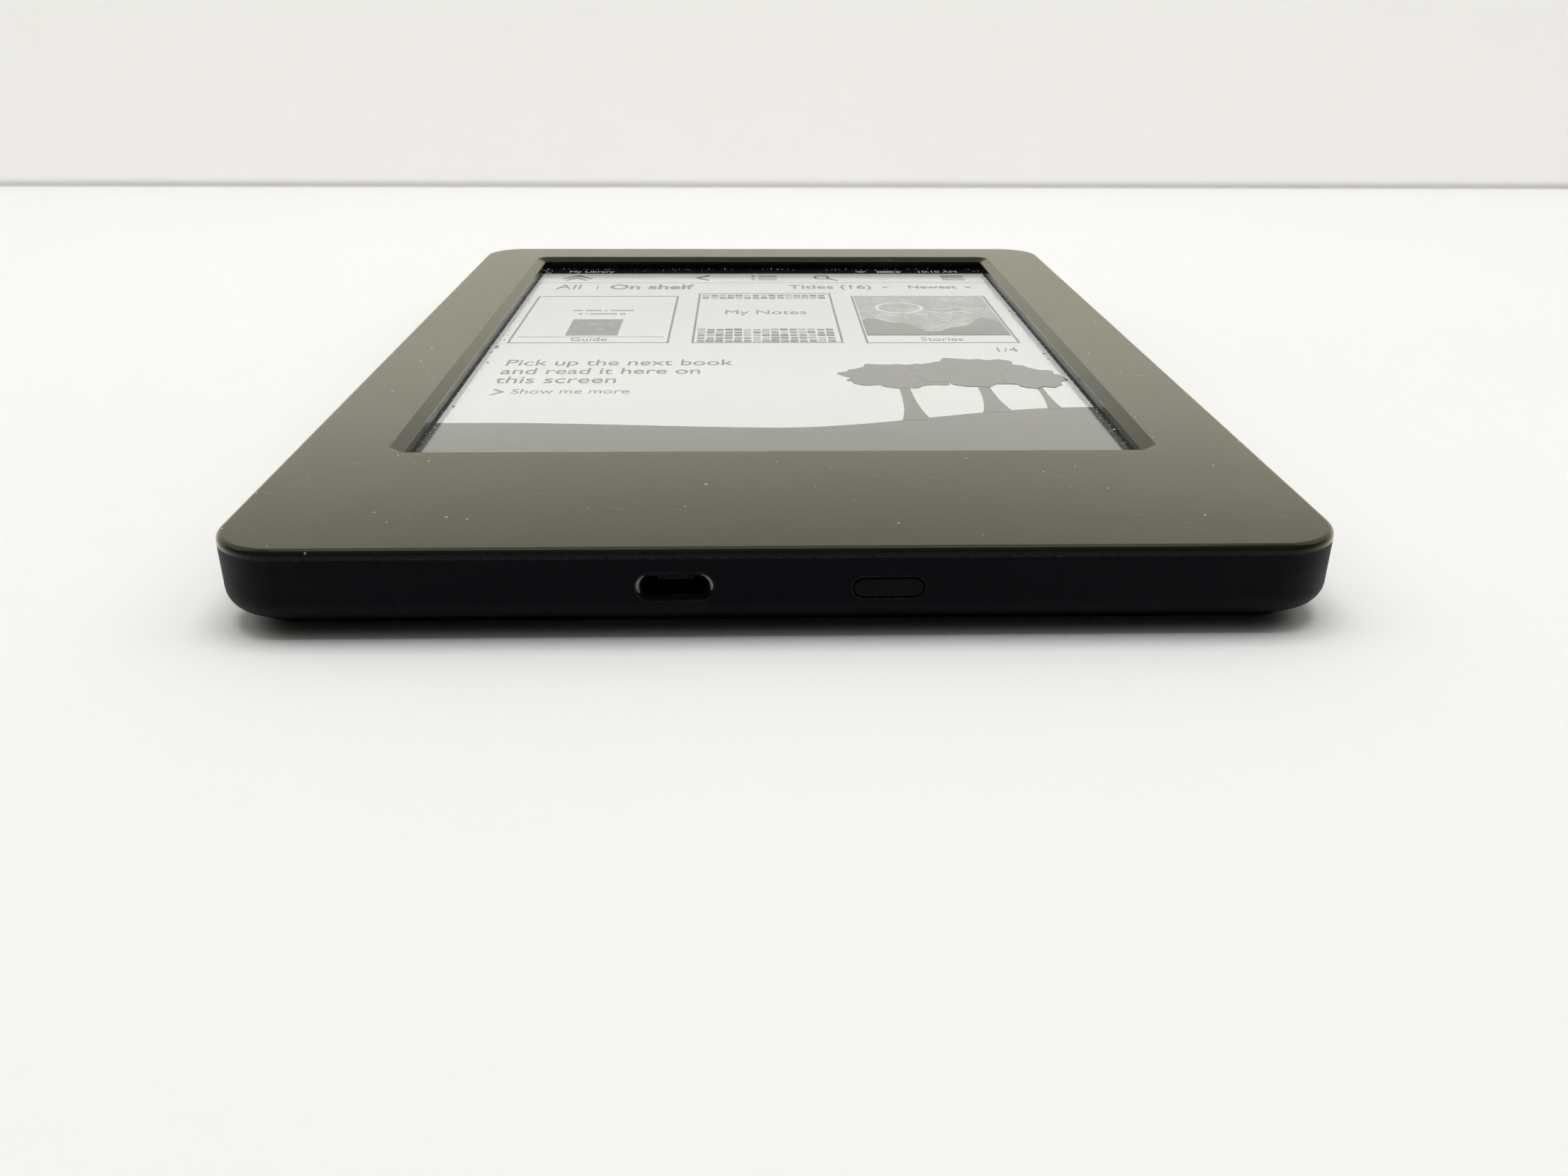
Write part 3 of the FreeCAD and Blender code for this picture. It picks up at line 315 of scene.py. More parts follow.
def new_piece(name: str, solid: Solid, finish: "Finish", body: Body, smooth: bool = False) -> None:
    """Makes a solid a piece with its finish, on the body that it rides on.

    Args:
        name: Name of the piece.
        solid: Its closed surface, in metres.
        finish: What it is made of.
        body: The body that carries it.
        smooth: Whether its faces shade as one curved surface.
    """
    piece = surface(name, solid.points, solid.faces, smooth, finish.material())
    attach(piece, body.value)
    log.info("%s: %d points on %s", name, len(solid.points), body.value)


def letters(words: str, left: float, right: float, middle: float, level: float, bold: float = 0.0) -> Solid:
    """Words as flat solid letters, scaled to fill a line from left to right.

    Args:
        words: What the line says.
        left: Where it starts.
        right: Where it ends.
        middle: Half way up its lower-case letters.
        level: Underside of the letters.
        bold: How far each outline is moved outwards, as a share of the letter size.

    Returns:
        The letters, with closed sides.
    """
    curve = bpy.data.curves.new("line", "FONT")
    curve.body = words
    curve.offset = bold
    curve.extrude = LETTER_HALF
    holder = bpy.data.objects.new("line", curve)
    bpy.context.scene.collection.objects.link(holder)
    graph = bpy.context.evaluated_depsgraph_get()
    flat = bpy.data.meshes.new_from_object(holder.evaluated_get(graph))
    build = bmesh.new()
    build.from_mesh(flat)
    bmesh.ops.remove_doubles(build, verts=build.verts, dist=MERGE_REACH)
    bmesh.ops.recalc_face_normals(build, faces=build.faces)
    solid = solid_of(build)
    build.free()
    bpy.data.objects.remove(holder)
    bpy.data.curves.remove(curve)
    bpy.data.meshes.remove(flat)
    points = solid.points
    start = points[:, 0].min()
    scale = (right - left) / (points[:, 0].max() - start)
    points[:, 0] = left + (points[:, 0] - start) * scale
    points[:, 1] = middle + (points[:, 1] - LETTER_MIDDLE) * scale * LETTER_TALL
    points[:, 2] = level + (points[:, 2] + LETTER_HALF) * INK_THICK
    return solid


# ---------------------------------------------------------------------------------------------
# Node graphs and the effects that several finishes share


class Graph:
    """A node tree, with short ways to add nodes and to join their sockets."""

    def __init__(self, tree: bpy.types.NodeTree) -> None:
        """Keeps the tree that the nodes go in."""
        self.tree = tree

    @classmethod
    def emptied(cls, owner: bpy.types.Material | bpy.types.World) -> "Graph":
        """Clears the nodes of a material or a world.

        Args:
            owner: The material or the world.

        Returns:
            Its empty graph.
        """
        owner.use_nodes = True
        owner.node_tree.nodes.clear()
        return cls(owner.node_tree)

    def add(self, kind: str, sockets: dict[Any, Any] | None = None, **settings: Any) -> bpy.types.Node:
        """Adds a node.

        Args:
            kind: Blender's name for the node, without ShaderNode in front.
            sockets: Input name or number to its value, or to the output that feeds it.
            **settings: Properties of the node.

        Returns:
            The node.
        """
        node = self.tree.nodes.new(kind if kind.startswith("Node") else f"ShaderNode{kind}")
        for name, value in settings.items():
            setattr(node, name, value)
        for key, value in (sockets or {}).items():
            self.feed(node, key, value)
        return node

    def feed(self, node: bpy.types.Node, key: Any, value: Any) -> None:
        """Joins an output to one input of a node, or sets that input's value.

        Args:
            node: The node.
            key: Name or number of the input.
            value: The output that feeds it, or its value.
        """
        socket = node.inputs[key]
        if isinstance(value, bpy.types.NodeSocket):
            self.tree.links.new(value, socket)
        elif isinstance(value, tuple) and socket.type == "RGBA":
            socket.default_value = (*value, 1.0)
        else:
            socket.default_value = value

    def math(self, operation: str, *terms: Any) -> bpy.types.NodeSocket:
        """The result of one sum, product or comparison of its terms."""
        return self.add("Math", dict(enumerate(terms)), operation=operation).outputs[0]

    def ease(self, value: Any, span: tuple[float, float], to: tuple[float, float]) -> bpy.types.NodeSocket:
        """A value that runs evenly from one span to another and stops at its ends."""
        sockets = {0: value, 1: span[0], 2: span[1], 3: to[0], 4: to[1]}
        return self.add("MapRange", sockets).outputs[0]

    def mix(self, share: Any, first: Any, second: Any) -> bpy.types.NodeSocket:
        """A colour between two others."""
        return self.add("Mix", {0: share, 6: first, 7: second}, data_type="RGBA").outputs[2]

    def noise(
        self, vector: Any, scale: float, detail: float = 2.0, rough: float = 0.5
    ) -> bpy.types.NodeSocket:
        """Soft noise between 0 and 1, most of it near the middle."""
        sockets = {"Vector": vector, "Scale": scale, "Detail": detail, "Roughness": rough}
        return self.add("TexNoise", sockets).outputs[0]

    def stretch(self, vector: Any, scale: Sequence[float]) -> bpy.types.NodeSocket:
        """Coordinates scaled on each axis."""
        return self.add("Mapping", {"Vector": vector, "Scale": tuple(scale)}).outputs[0]

    def place(self, effect: "Effect", sockets: dict[str, Any]) -> bpy.types.Node:
        """Places a shared effect with its own values."""
        return self.add("Group", sockets, node_tree=effect_tree(effect))


class Effect(Enum):
    """The shared effects, each of them one node group."""

    GRAIN = "grain"
    SPECKS = "specks"
    SCUFFS = "scuffs"
    EDGE_WEAR = "edge_wear"
    SMUDGE = "smudge"
    BRUSHED = "brushed"
    CELLS = "cells"
    TRACKS = "tracks"


VECTOR_SOCKET = "NodeSocketVector"
NUMBER_SOCKET = "NodeSocketFloat"


class EffectGroup:
    """A node group under construction, with its named inputs and outputs."""

    def __init__(self, name: str, numbers: dict[str, float], outputs: Sequence[str]) -> None:
        """Starts the group.

        Args:
            name: Name of the group.
            numbers: Each number that it takes, with its usual value. It takes a Vector too.
            outputs: The values that it puts out.
        """
        self.tree = bpy.data.node_groups.new(name, "ShaderNodeTree")
        self.tree.interface.new_socket("Vector", in_out="INPUT", socket_type=VECTOR_SOCKET)
        for label, value in numbers.items():
            socket = self.tree.interface.new_socket(label, in_out="INPUT", socket_type=NUMBER_SOCKET)
            socket.default_value = value
        for label in outputs:
            self.tree.interface.new_socket(label, in_out="OUTPUT", socket_type=NUMBER_SOCKET)
        self.graph = Graph(self.tree)
        self.given = self.graph.add("NodeGroupInput").outputs
        self.result = self.graph.add("NodeGroupOutput")

    def scaled(self, size: str) -> bpy.types.NodeSocket:
        """The vector divided by a size.

        Args:
            size: Name of the input that holds the size.

        Returns:
            The scaled vector.
        """
        per = self.graph.math("DIVIDE", 1.0, self.given[size])
        sockets = {0: self.given["Vector"], "Scale": per}
        return self.graph.add("VectorMath", sockets, operation="SCALE").outputs[0]

    def relief(self, height: bpy.types.NodeSocket, span: tuple[float, float]) -> bpy.types.NodeTree:
        """Puts out a height, and a tone that says where in the span it lies."""
        return self.done(height=height, tone=self.graph.ease(height, span, UNIT))

    def done(self, **values: Any) -> bpy.types.NodeTree:
        """Joins the results to the group's outputs.

        Args:
            **values: Output name, in small letters, to the socket that feeds it.

        Returns:
            The finished tree.
        """
        for label, value in values.items():
            self.graph.feed(self.result, label.capitalize(), value)
        return self.tree


def grain_tree() -> bpy.types.NodeTree:
    """Fine moulded grain: noise of one size, and some of three times that size below it.

    Returns:
        The node group.
    """
    group = EffectGroup("grain", {"Size": 0.1 * MM}, ["Height", "Tone"])
    fine = group.graph.noise(group.scaled("Size"), 1.0, 3.0, 0.6)
    coarse = group.graph.noise(group.scaled("Size"), 0.31, 1.0)
    height = group.graph.add("Mix", {0: 0.35, 2: fine, 3: coarse}).outputs[0]
    return group.relief(height, (0.35, 0.65))


def specks_tree() -> bpy.types.NodeTree:
    """Loose specks seen from above: a share of the cells of a flat Voronoi pattern each hold a round one.

    Returns:
        The node group.
    """
    group = EffectGroup("specks", {"Pitch": 2.0 * MM, "Share": 0.2, "Radius": 0.05}, ["Mask"])
    graph = group.graph
    sockets = {"Vector": group.scaled("Pitch"), "Scale": 1.0}
    cells = graph.add("TexVoronoi", sockets, voronoi_dimensions="2D")
    random = graph.add("SeparateColor", {0: cells.outputs["Color"]})
    held = graph.math("LESS_THAN", random.outputs[0], group.given["Share"])
    size = graph.ease(random.outputs[1], UNIT, (0.3, 1.0))
    reach = graph.math("MULTIPLY", group.given["Radius"], size)
    near = graph.math("DIVIDE", cells.outputs["Distance"], reach)
    return group.done(mask=graph.math("MULTIPLY", held, graph.ease(near, (0.6, 1.0), (1.0, 0.0))))


def scuffs_tree() -> bpy.types.NodeTree:
    """Short scratches: thin crests of noise drawn out along one direction, in a few patches.

    Returns:
        The node group.
    """
    group = EffectGroup("scuffs", {"Length": 6.0 * MM, "Width": 0.06 * MM, "Share": 0.1}, ["Mask"])
    graph = group.graph
    angle, patches, highest = 0.6, 90.0, 0.86
    turned = graph.add("VectorRotate", {"Vector": group.given["Vector"], "Angle": angle}).outputs[0]
    apart = graph.add("SeparateXYZ", {0: turned}).outputs
    along = graph.math("DIVIDE", apart[0], group.given["Length"])
    across = graph.math("DIVIDE", apart[1], group.given["Width"])
    above = graph.math("DIVIDE", apart[2], group.given["Width"])
    drawn = graph.add("CombineXYZ", {0: along, 1: across, 2: above}).outputs[0]
    crest = graph.noise(drawn, 1.0, 0.0)
    patch = graph.noise(group.given["Vector"], patches, 1.0)
    limit = graph.math("SUBTRACT", highest, graph.math("MULTIPLY", group.given["Share"], patch))
    over = graph.math("SUBTRACT", crest, limit)
    return group.done(mask=graph.ease(over, (0.0, 0.03), UNIT))


def edge_wear_tree() -> bpy.types.NodeTree:
    """Rubbed edges: how far a normal rounded over a radius leans from the true one, broken by noise.

    Returns:
        The node group.
    """
    group = EffectGroup("edge_wear", {"Radius": 0.3 * MM, "Amount": 1.0}, ["Mask"])
    graph = group.graph
    rounded = graph.add("Bevel", {"Radius": group.given["Radius"]}, samples=4).outputs[0]
    true = graph.add("NewGeometry").outputs["Normal"]
    alike = graph.add("VectorMath", {0: rounded, 1: true}, operation="DOT_PRODUCT").outputs["Value"]
    flat, bent, chips = 0.998, 0.93, 1100.0
    lean = graph.ease(alike, (flat, bent), UNIT)
    broken = graph.ease(graph.noise(group.given["Vector"], chips, 3.0, 0.7), (0.4, 0.62), (0.15, 1.0))
    worn = graph.math("MULTIPLY", graph.math("MULTIPLY", lean, broken), group.given["Amount"])
    return group.done(mask=worn)


def smudge_tree() -> bpy.types.NodeTree:
    """Handling marks: two sizes of warped noise, as where fingers leave a film.

    Returns:
        The node group.
    """
    group = EffectGroup("smudge", {"Size": 12.0 * MM}, ["Height", "Tone"])
    graph = group.graph
    broad = graph.noise(group.scaled("Size"), 1.0, 4.0, 0.62)
    fine = graph.noise(group.scaled("Size"), 5.3, 2.0)
    height = graph.add("Mix", {0: 0.3, 2: broad, 3: fine}).outputs[0]
    return group.relief(height, (0.3, 0.7))


def brushed_tree() -> bpy.types.NodeTree:
    """Rolled or brushed metal: noise forty times longer along X than it is wide.

    Returns:
        The node group.
    """
    group = EffectGroup("brushed", {"Pitch": 0.04 * MM}, ["Height", "Tone"])
    lines = group.graph.stretch(group.scaled("Pitch"), (0.025, 1.0, 1.0))
    height = group.graph.noise(lines, 1.0, 3.0, 0.6)
    return group.relief(height, (0.3, 0.7))


def cells_tree() -> bpy.types.NodeTree:
    """Foam, or a crinkled skin: the distance to the walls between the cells of a Voronoi pattern.

    Returns:
        The node group.
    """
    group = EffectGroup("cells", {"Pitch": 0.2 * MM}, ["Height", "Tone"])
    graph = group.graph
    sockets = {"Vector": group.scaled("Pitch"), "Scale": 1.0}
    walls = graph.add("TexVoronoi", sockets, feature="DISTANCE_TO_EDGE").outputs["Distance"]
    height = graph.ease(walls, (0.0, 0.35), UNIT)
    return group.done(height=height, tone=height)


def tracks_tree() -> bpy.types.NodeTree:
    """Copper tracks under a coating: stripes along X in some patches of the board and along Y in others.

    Returns:
        The node group.
    """
    group = EffectGroup("tracks", {"Pitch": 0.8 * MM, "Patch": 6.0 * MM}, ["Height", "Tone"])
    graph = group.graph
    cells = graph.add("TexVoronoi", {"Vector": group.scaled("Patch"), "Scale": 1.0}, distance="CHEBYCHEV")
    choice = graph.add("SeparateColor", {0: cells.outputs["Color"]}).outputs
    place = graph.add("SeparateXYZ", {0: group.scaled("Pitch")}).outputs
    half, gap, bare = 0.5, 0.62, 0.45
    turned = graph.math("GREATER_THAN", choice[0], half)
    line = graph.add("Mix", {0: turned, 2: place[0], 3: place[1]}).outputs[0]
    stripe = graph.math("GREATER_THAN", graph.math("FRACT", line), gap)
    shown = graph.math("GREATER_THAN", choice[1], bare)
    tone = graph.math("MULTIPLY", stripe, shown)
    return group.done(height=tone, tone=tone)


EFFECT_MAKERS = {
    Effect.GRAIN: grain_tree,
    Effect.SPECKS: specks_tree,
    Effect.SCUFFS: scuffs_tree,
    Effect.EDGE_WEAR: edge_wear_tree,
    Effect.SMUDGE: smudge_tree,
    Effect.BRUSHED: brushed_tree,
    Effect.CELLS: cells_tree,
    Effect.TRACKS: tracks_tree,
}


def effect_tree(effect: Effect) -> bpy.types.NodeTree:
    """The node group of a shared effect, built the first time that it is asked for."""
    return bpy.data.node_groups.get(effect.value) or EFFECT_MAKERS[effect]()


# ---------------------------------------------------------------------------------------------
# Finishes

COAT_ROUGHNESS = 0.06
HAZE_ROUGHNESS = 0.3
HAZE_TINT = (1.0, 0.93, 0.44)
SCUFF_SHADE = 0.6
SCUFF_ROUGHNESS = 0.1
DUST_SHADE = 0.7
DUST_ROUGHNESS = 0.3
DUST_COLOUR = (0.55, 0.54, 0.51)
FINE_SPECKS = {"Pitch": 2.1 * MM, "Radius": 0.08}
LARGE_SPECKS = {"Pitch": 9.0 * MM, "Radius": 0.03}


@dataclass(frozen=True)
class Finish:
    """What a piece is made of: its colours, its gloss, the pattern in it and the marks on it.

    Attributes:
        name: Name of the material.
        slot: The record's material slot.
        dark: Colour in the hollows of the pattern.
        light: Colour on its crests.
        gloss: Lowest and highest roughness, between clean and smudged.
        effect: The pattern in the surface.
        size: Size of the pattern, in millimetres.
        depth: Height of its crests, in millimetres.
        metallic: How metallic it is.
        reflect: Strength of the reflection that faces the eye.
        dust: Share of the surface's cells that hold a speck.
        wear: How much its edges are rubbed.
        worn: Colour of a rubbed edge.
        scuffs: How many scratches it has.
        coat: Strength of a clear coat.
        facing: Tint of the reflection that faces the eye, which leaves the grazing one as it is.
        haze: Pale bloom at a grazing look, as on matt plastic that has been handled.
    """

    name: str
    slot: str
    dark: Colour
    light: Colour
    gloss: tuple[float, float] = (0.4, 0.5)
    effect: Effect = Effect.GRAIN
    size: float = 0.1
    depth: float = 0.002
    metallic: float = 0.0
    reflect: float = 0.5
    dust: float = 0.0
    wear: float = 0.0
    worn: Colour = (0.2, 0.2, 0.2)
    scuffs: float = 0.0
    coat: float = 0.0
    facing: float = 1.0
    haze: float = 0.0

    def material(self) -> bpy.types.Material:
        """The material, built the first time that it is asked for."""
        return bpy.data.materials.get(self.name) or self.build()

    def build(self) -> bpy.types.Material:
        """Builds the material: pattern, smudges, wear, scratches and dust, one over the other.

        Returns:
            The material.
        """
        material = bpy.data.materials.new(self.name)
        material.diffuse_color = (*self.light, 1.0)
        graph = Graph.emptied(material)
        place = graph.add("TexCoord").outputs["Object"]
        pattern = graph.place(self.effect, {"Vector": place, self.size_input(): self.size * MM})
        colour = graph.mix(pattern.outputs["Tone"], self.dark, self.light)
        smudge = graph.place(Effect.SMUDGE, {"Vector": place}).outputs["Tone"]
        rough = graph.ease(smudge, UNIT, self.gloss)
        if self.wear:
            worn = graph.place(Effect.EDGE_WEAR, {"Vector": place, "Amount": self.wear}).outputs[0]
            colour = graph.mix(worn, colour, self.worn)
        if self.scuffs:
            lines = graph.place(Effect.SCUFFS, {"Vector": place, "Share": self.scuffs}).outputs[0]
            colour = graph.mix(graph.math("MULTIPLY", lines, SCUFF_SHADE), colour, self.worn)
            rough = graph.math("ADD", rough, graph.math("MULTIPLY", lines, SCUFF_ROUGHNESS))
        if self.dust:
            colour, rough = self.dusted(graph, place, colour, rough)
        bump = {"Strength": 1.0, "Distance": self.depth * MM, "Height": pattern.outputs["Height"]}
        sockets = {
            "Base Color": colour,
            "Roughness": rough,
            "Metallic": self.metallic,
            "Specular IOR Level": self.reflect,
            "Specular Tint": (self.facing, self.facing, self.facing),
            "Sheen Weight": self.haze,
            "Sheen Roughness": HAZE_ROUGHNESS,
            "Sheen Tint": HAZE_TINT,
            "Coat Weight": self.coat,
            "Coat Roughness": COAT_ROUGHNESS,
            "Normal": graph.add("Bump", bump).outputs[0],
        }
        shader = graph.add("BsdfPrincipled", sockets)
        graph.add("OutputMaterial", {"Surface": shader.outputs[0]})
        return material

    def size_input(self) -> str:
        """Name of the input that takes the pattern's size."""
        return "Size" if self.effect in (Effect.GRAIN, Effect.SMUDGE) else "Pitch"

    def dusted(self, graph: Graph, place: Any, colour: Any, rough: Any) -> tuple[Any, Any]:
        """Adds small and large specks of dust to the faces that look up.

        Args:
            graph: The material's nodes.
            place: Object coordinates.
            colour: The colour below the dust.
            rough: The roughness below the dust.

        Returns:
            The colour and the roughness with the dust.
        """
        up = graph.add("SeparateXYZ", {0: graph.add("NewGeometry").outputs["Normal"]}).outputs[2]
        steep, level = 0.3, 0.7
        facing = graph.ease(up, (steep, level), UNIT)
        fine = {"Vector": place, "Share": self.dust * 0.25, **FINE_SPECKS}
        large = {"Vector": place, "Share": self.dust * 0.5, **LARGE_SPECKS}
        masks = [graph.place(Effect.SPECKS, sockets).outputs[0] for sockets in (fine, large)]
        held = graph.math("MULTIPLY", graph.math("MAXIMUM", *masks), facing)
        dusty = graph.mix(graph.math("MULTIPLY", held, DUST_SHADE), colour, DUST_COLOUR)
        return dusty, graph.math("ADD", rough, graph.math("MULTIPLY", held, DUST_ROUGHNESS))


COVER = Finish(
    "cover_soft_plastic", "cover_plastic", (0.0022, 0.0026, 0.0042), (0.004, 0.0046, 0.007),
    gloss=(0.5, 0.62), size=0.09, depth=0.0025, reflect=0.32, facing=0.1, dust=0.12,
    wear=0.8, worn=(0.05, 0.052, 0.056), scuffs=0.12,
)  # fmt: skip
BEZEL = Finish(
    "bezel_moulded_plastic", "bezel_plastic", (0.0074, 0.0073, 0.0052), (0.0122, 0.0119, 0.0088),
    gloss=(0.14, 0.2), size=0.09, depth=0.002, reflect=0.62, facing=0.08, haze=0.8, dust=0.2,
    wear=0.2, worn=(0.06, 0.062, 0.062), scuffs=0.14,
)  # fmt: skip
GUIDE = Finish(
    "guide_gloss_plastic", "guide_plastic", (0.003, 0.003, 0.004), (0.006, 0.006, 0.008),
    gloss=(0.14, 0.24), size=0.4, depth=0.0006, reflect=0.32, facing=0.6, dust=0.1,
)  # fmt: skip
BUTTON = Finish(
    "button_satin_plastic", "button_plastic", (0.0022, 0.003, 0.005), (0.0038, 0.005, 0.0078),
    gloss=(0.34, 0.44), size=0.07, depth=0.0015, reflect=0.36, facing=0.12, dust=0.1,
    wear=0.15, worn=(0.02, 0.024, 0.03),
)  # fmt: skip
SEAL = Finish(
    "seal_cell_foam", "seal_foam", (0.008, 0.008, 0.008), (0.03, 0.03, 0.03),
    gloss=(0.85, 0.95), effect=Effect.CELLS, size=0.12, depth=0.03, reflect=0.2,
)  # fmt: skip
PAPER = Finish(
    "screen_ink_paper", "screen_sheet", (0.545, 0.56, 0.575), (0.6, 0.615, 0.63),
    gloss=(0.11, 0.18), size=0.09, depth=0.0006, reflect=0.75, dust=0.05, coat=0.55,
)  # fmt: skip
GLASS = Finish(
    "screen_back_glass", "screen_glass", (0.16, 0.19, 0.18), (0.24, 0.28, 0.265),
    gloss=(0.04, 0.1), size=2.0, depth=0.0004, reflect=0.6, coat=0.5,
)  # fmt: skip
BOARD = Finish(
    "board_masked_laminate", "board_laminate", (0.008, 0.05, 0.03), (0.03, 0.16, 0.085),
    gloss=(0.22, 0.34), effect=Effect.TRACKS, size=0.75, depth=0.02, reflect=0.5, coat=0.3,
)  # fmt: skip
FILM = Finish(
    "flex_amber_film", "flex_film", (0.3, 0.13, 0.02), (0.62, 0.36, 0.1),
    gloss=(0.2, 0.32), effect=Effect.TRACKS, size=0.5, depth=0.012, reflect=0.5, coat=0.4,
)  # fmt: skip
RESIN = Finish(
    "chip_moulded_resin", "chip_resin", (0.012, 0.012, 0.014), (0.035, 0.035, 0.038),
    gloss=(0.45, 0.6), size=0.05, depth=0.004, reflect=0.4, wear=0.4, worn=(0.12, 0.12, 0.12),
)  # fmt: skip
DIODE = Finish(
    "diode_clear_resin", "diode_resin", (0.03, 0.022, 0.045), (0.07, 0.055, 0.095),
    gloss=(0.05, 0.12), size=0.3, depth=0.001, reflect=0.6, coat=0.6,
)  # fmt: skip
MAGNESIUM = Finish(
    "light_cast_metal", "light_metal", (0.4, 0.4, 0.41), (0.58, 0.58, 0.6),
    gloss=(0.34, 0.48), size=0.2, depth=0.006, metallic=1.0, wear=0.7, worn=(0.85, 0.85, 0.86),
)  # fmt: skip
STEEL = Finish(
    "rolled_steel", "steel", (0.42, 0.42, 0.42), (0.66, 0.66, 0.65),
    gloss=(0.24, 0.38), effect=Effect.BRUSHED, size=0.05, depth=0.002, metallic=1.0,
    wear=0.6, worn=(0.88, 0.88, 0.87),
)  # fmt: skip
GOLD = Finish(
    "plated_gold", "contact_gold", (0.72, 0.5, 0.2), (0.92, 0.72, 0.36),
    gloss=(0.18, 0.3), effect=Effect.BRUSHED, size=0.04, depth=0.001, metallic=1.0,
)  # fmt: skip
SOCKET = Finish(
    "socket_pale_plastic", "socket_plastic", (0.6, 0.57, 0.48), (0.74, 0.71, 0.62),
    gloss=(0.4, 0.52), size=0.08, depth=0.003, wear=0.3, worn=(0.85, 0.83, 0.76),
)  # fmt: skip
POUCH = Finish(
    "cell_foil_pouch", "cell_pouch", (0.44, 0.44, 0.46), (0.62, 0.62, 0.64),
    gloss=(0.28, 0.44), effect=Effect.CELLS, size=5.0, depth=0.05, metallic=0.85,
    wear=0.4, worn=(0.8, 0.8, 0.82),
)  # fmt: skip
TAPE = Finish(
    "tape_woven_foam", "tape_foam", (0.05, 0.05, 0.05), (0.14, 0.14, 0.135),
    gloss=(0.8, 0.92), effect=Effect.CELLS, size=0.3, depth=0.04, reflect=0.2,
)  # fmt: skip
LEAD = Finish(
    "lead_red_sleeve", "lead_sleeve", (0.28, 0.02, 0.018), (0.42, 0.04, 0.03),
    gloss=(0.38, 0.5), size=0.15, depth=0.006, reflect=0.4,
)  # fmt: skip
CABLE = Finish(
    "cable_black_sleeve", "cable_sleeve", (0.012, 0.012, 0.012), (0.032, 0.032, 0.033),
    gloss=(0.4, 0.52), size=0.15, depth=0.006, reflect=0.4,
)  # fmt: skip
PORT_STEEL = Finish(
    "port_blackened_steel", "steel", (0.008, 0.008, 0.009), (0.018, 0.018, 0.02),
    gloss=(0.34, 0.46), effect=Effect.BRUSHED, size=0.05, depth=0.002, metallic=1.0,
)  # fmt: skip
PORT_RESIN = Finish(
    "port_black_resin", "chip_resin", (0.003, 0.003, 0.003), (0.008, 0.008, 0.008),
    gloss=(0.5, 0.62), size=0.05, depth=0.003, reflect=0.3, facing=0.3,
)  # fmt: skip
# Painted highlight: pale plastic on the socket's bevel, where the bevel catches the light.
RIM_HIGHLIGHT = Finish(
    "port_rim_highlight_plastic", "cover_plastic", (0.08, 0.076, 0.07), (0.3, 0.285, 0.26),
    gloss=(0.35, 0.5), effect=Effect.SMUDGE, size=0.5, depth=0.002, reflect=0.5,
)  # fmt: skip
CAD_FINISHES = {
    finish.slot: finish
    for finish in (
        COVER, BEZEL, GUIDE, BUTTON, SEAL, PAPER, GLASS, BOARD, FILM, RESIN, DIODE, MAGNESIUM, STEEL,
        GOLD, SOCKET, POUCH, TAPE, LEAD, CABLE,
    )
}  # fmt: skip


def ink(name: str, tone: float) -> Finish:
    """Ink of one of the sheet's greys, with the sheet's own gloss and grain.

    Args:
        name: Name of the grey.
        tone: How light it is, from 0 to 1.

    Returns:
        The finish.
    """
    dark = (tone * 0.86, tone * 0.91, tone * 0.92)
    light = (tone * 1.02, tone * 1.08, tone * 1.09)
    return Finish(
        f"ink_{name}", "screen_sheet", dark, light,
        gloss=PAPER.gloss, size=PAPER.size, depth=PAPER.depth, reflect=PAPER.reflect, coat=PAPER.coat,
    )  # fmt: skip


BLACK_INK = ink("black", 0.01)
DARK_INK = ink("dark", 0.012)
MIDDLE_INK = ink("middle", 0.06)
PALE_INK = ink("pale", 0.28)
WHITE_INK = ink("white", 0.56)
HILL_INK = ink("hill", 0.035)
TREE_INK = ink("tree", 0.038)
SKY_INK = Finish(
    "ink_sky", "screen_sheet", (0.08, 0.08, 0.08), (0.4, 0.4, 0.39), gloss=PAPER.gloss,
    effect=Effect.SMUDGE, size=9.0, depth=PAPER.depth, reflect=PAPER.reflect, coat=PAPER.coat,
)  # fmt: skip
DUST = Finish(
    "settled_dust", "bezel_plastic", (0.45, 0.44, 0.41), (0.8, 0.79, 0.76),
    gloss=(0.8, 0.95), size=0.04, depth=0.01, reflect=0.2,
)  # fmt: skip


# ---------------------------------------------------------------------------------------------
# Sub-assemblies made by the CAD


@dataclass
class CarriedParts:
    """A sub-assembly whose shapes are the CAD's own, and which gets its finishes here.

    Attributes:
        title: What the sub-assembly is called.
        nodes: The names of its CAD nodes.
        special: Nodes with a finish of their own, in place of the slot's.
    """

    title: str
    nodes: tuple[str, ...]
    special: dict[str, Finish] = field(default_factory=dict)

    def dress(self) -> None:
        """Gives each node the finish of the slot that the CAD model names for it."""
        for name in self.nodes:
            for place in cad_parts[name].material_slots:
                finish = self.special.get(name) or CAD_FINISHES[place.material.name.split(".")[0]]
                place.material = finish.material()
            log.info("%s: %s keeps its CAD shape", self.title, name)


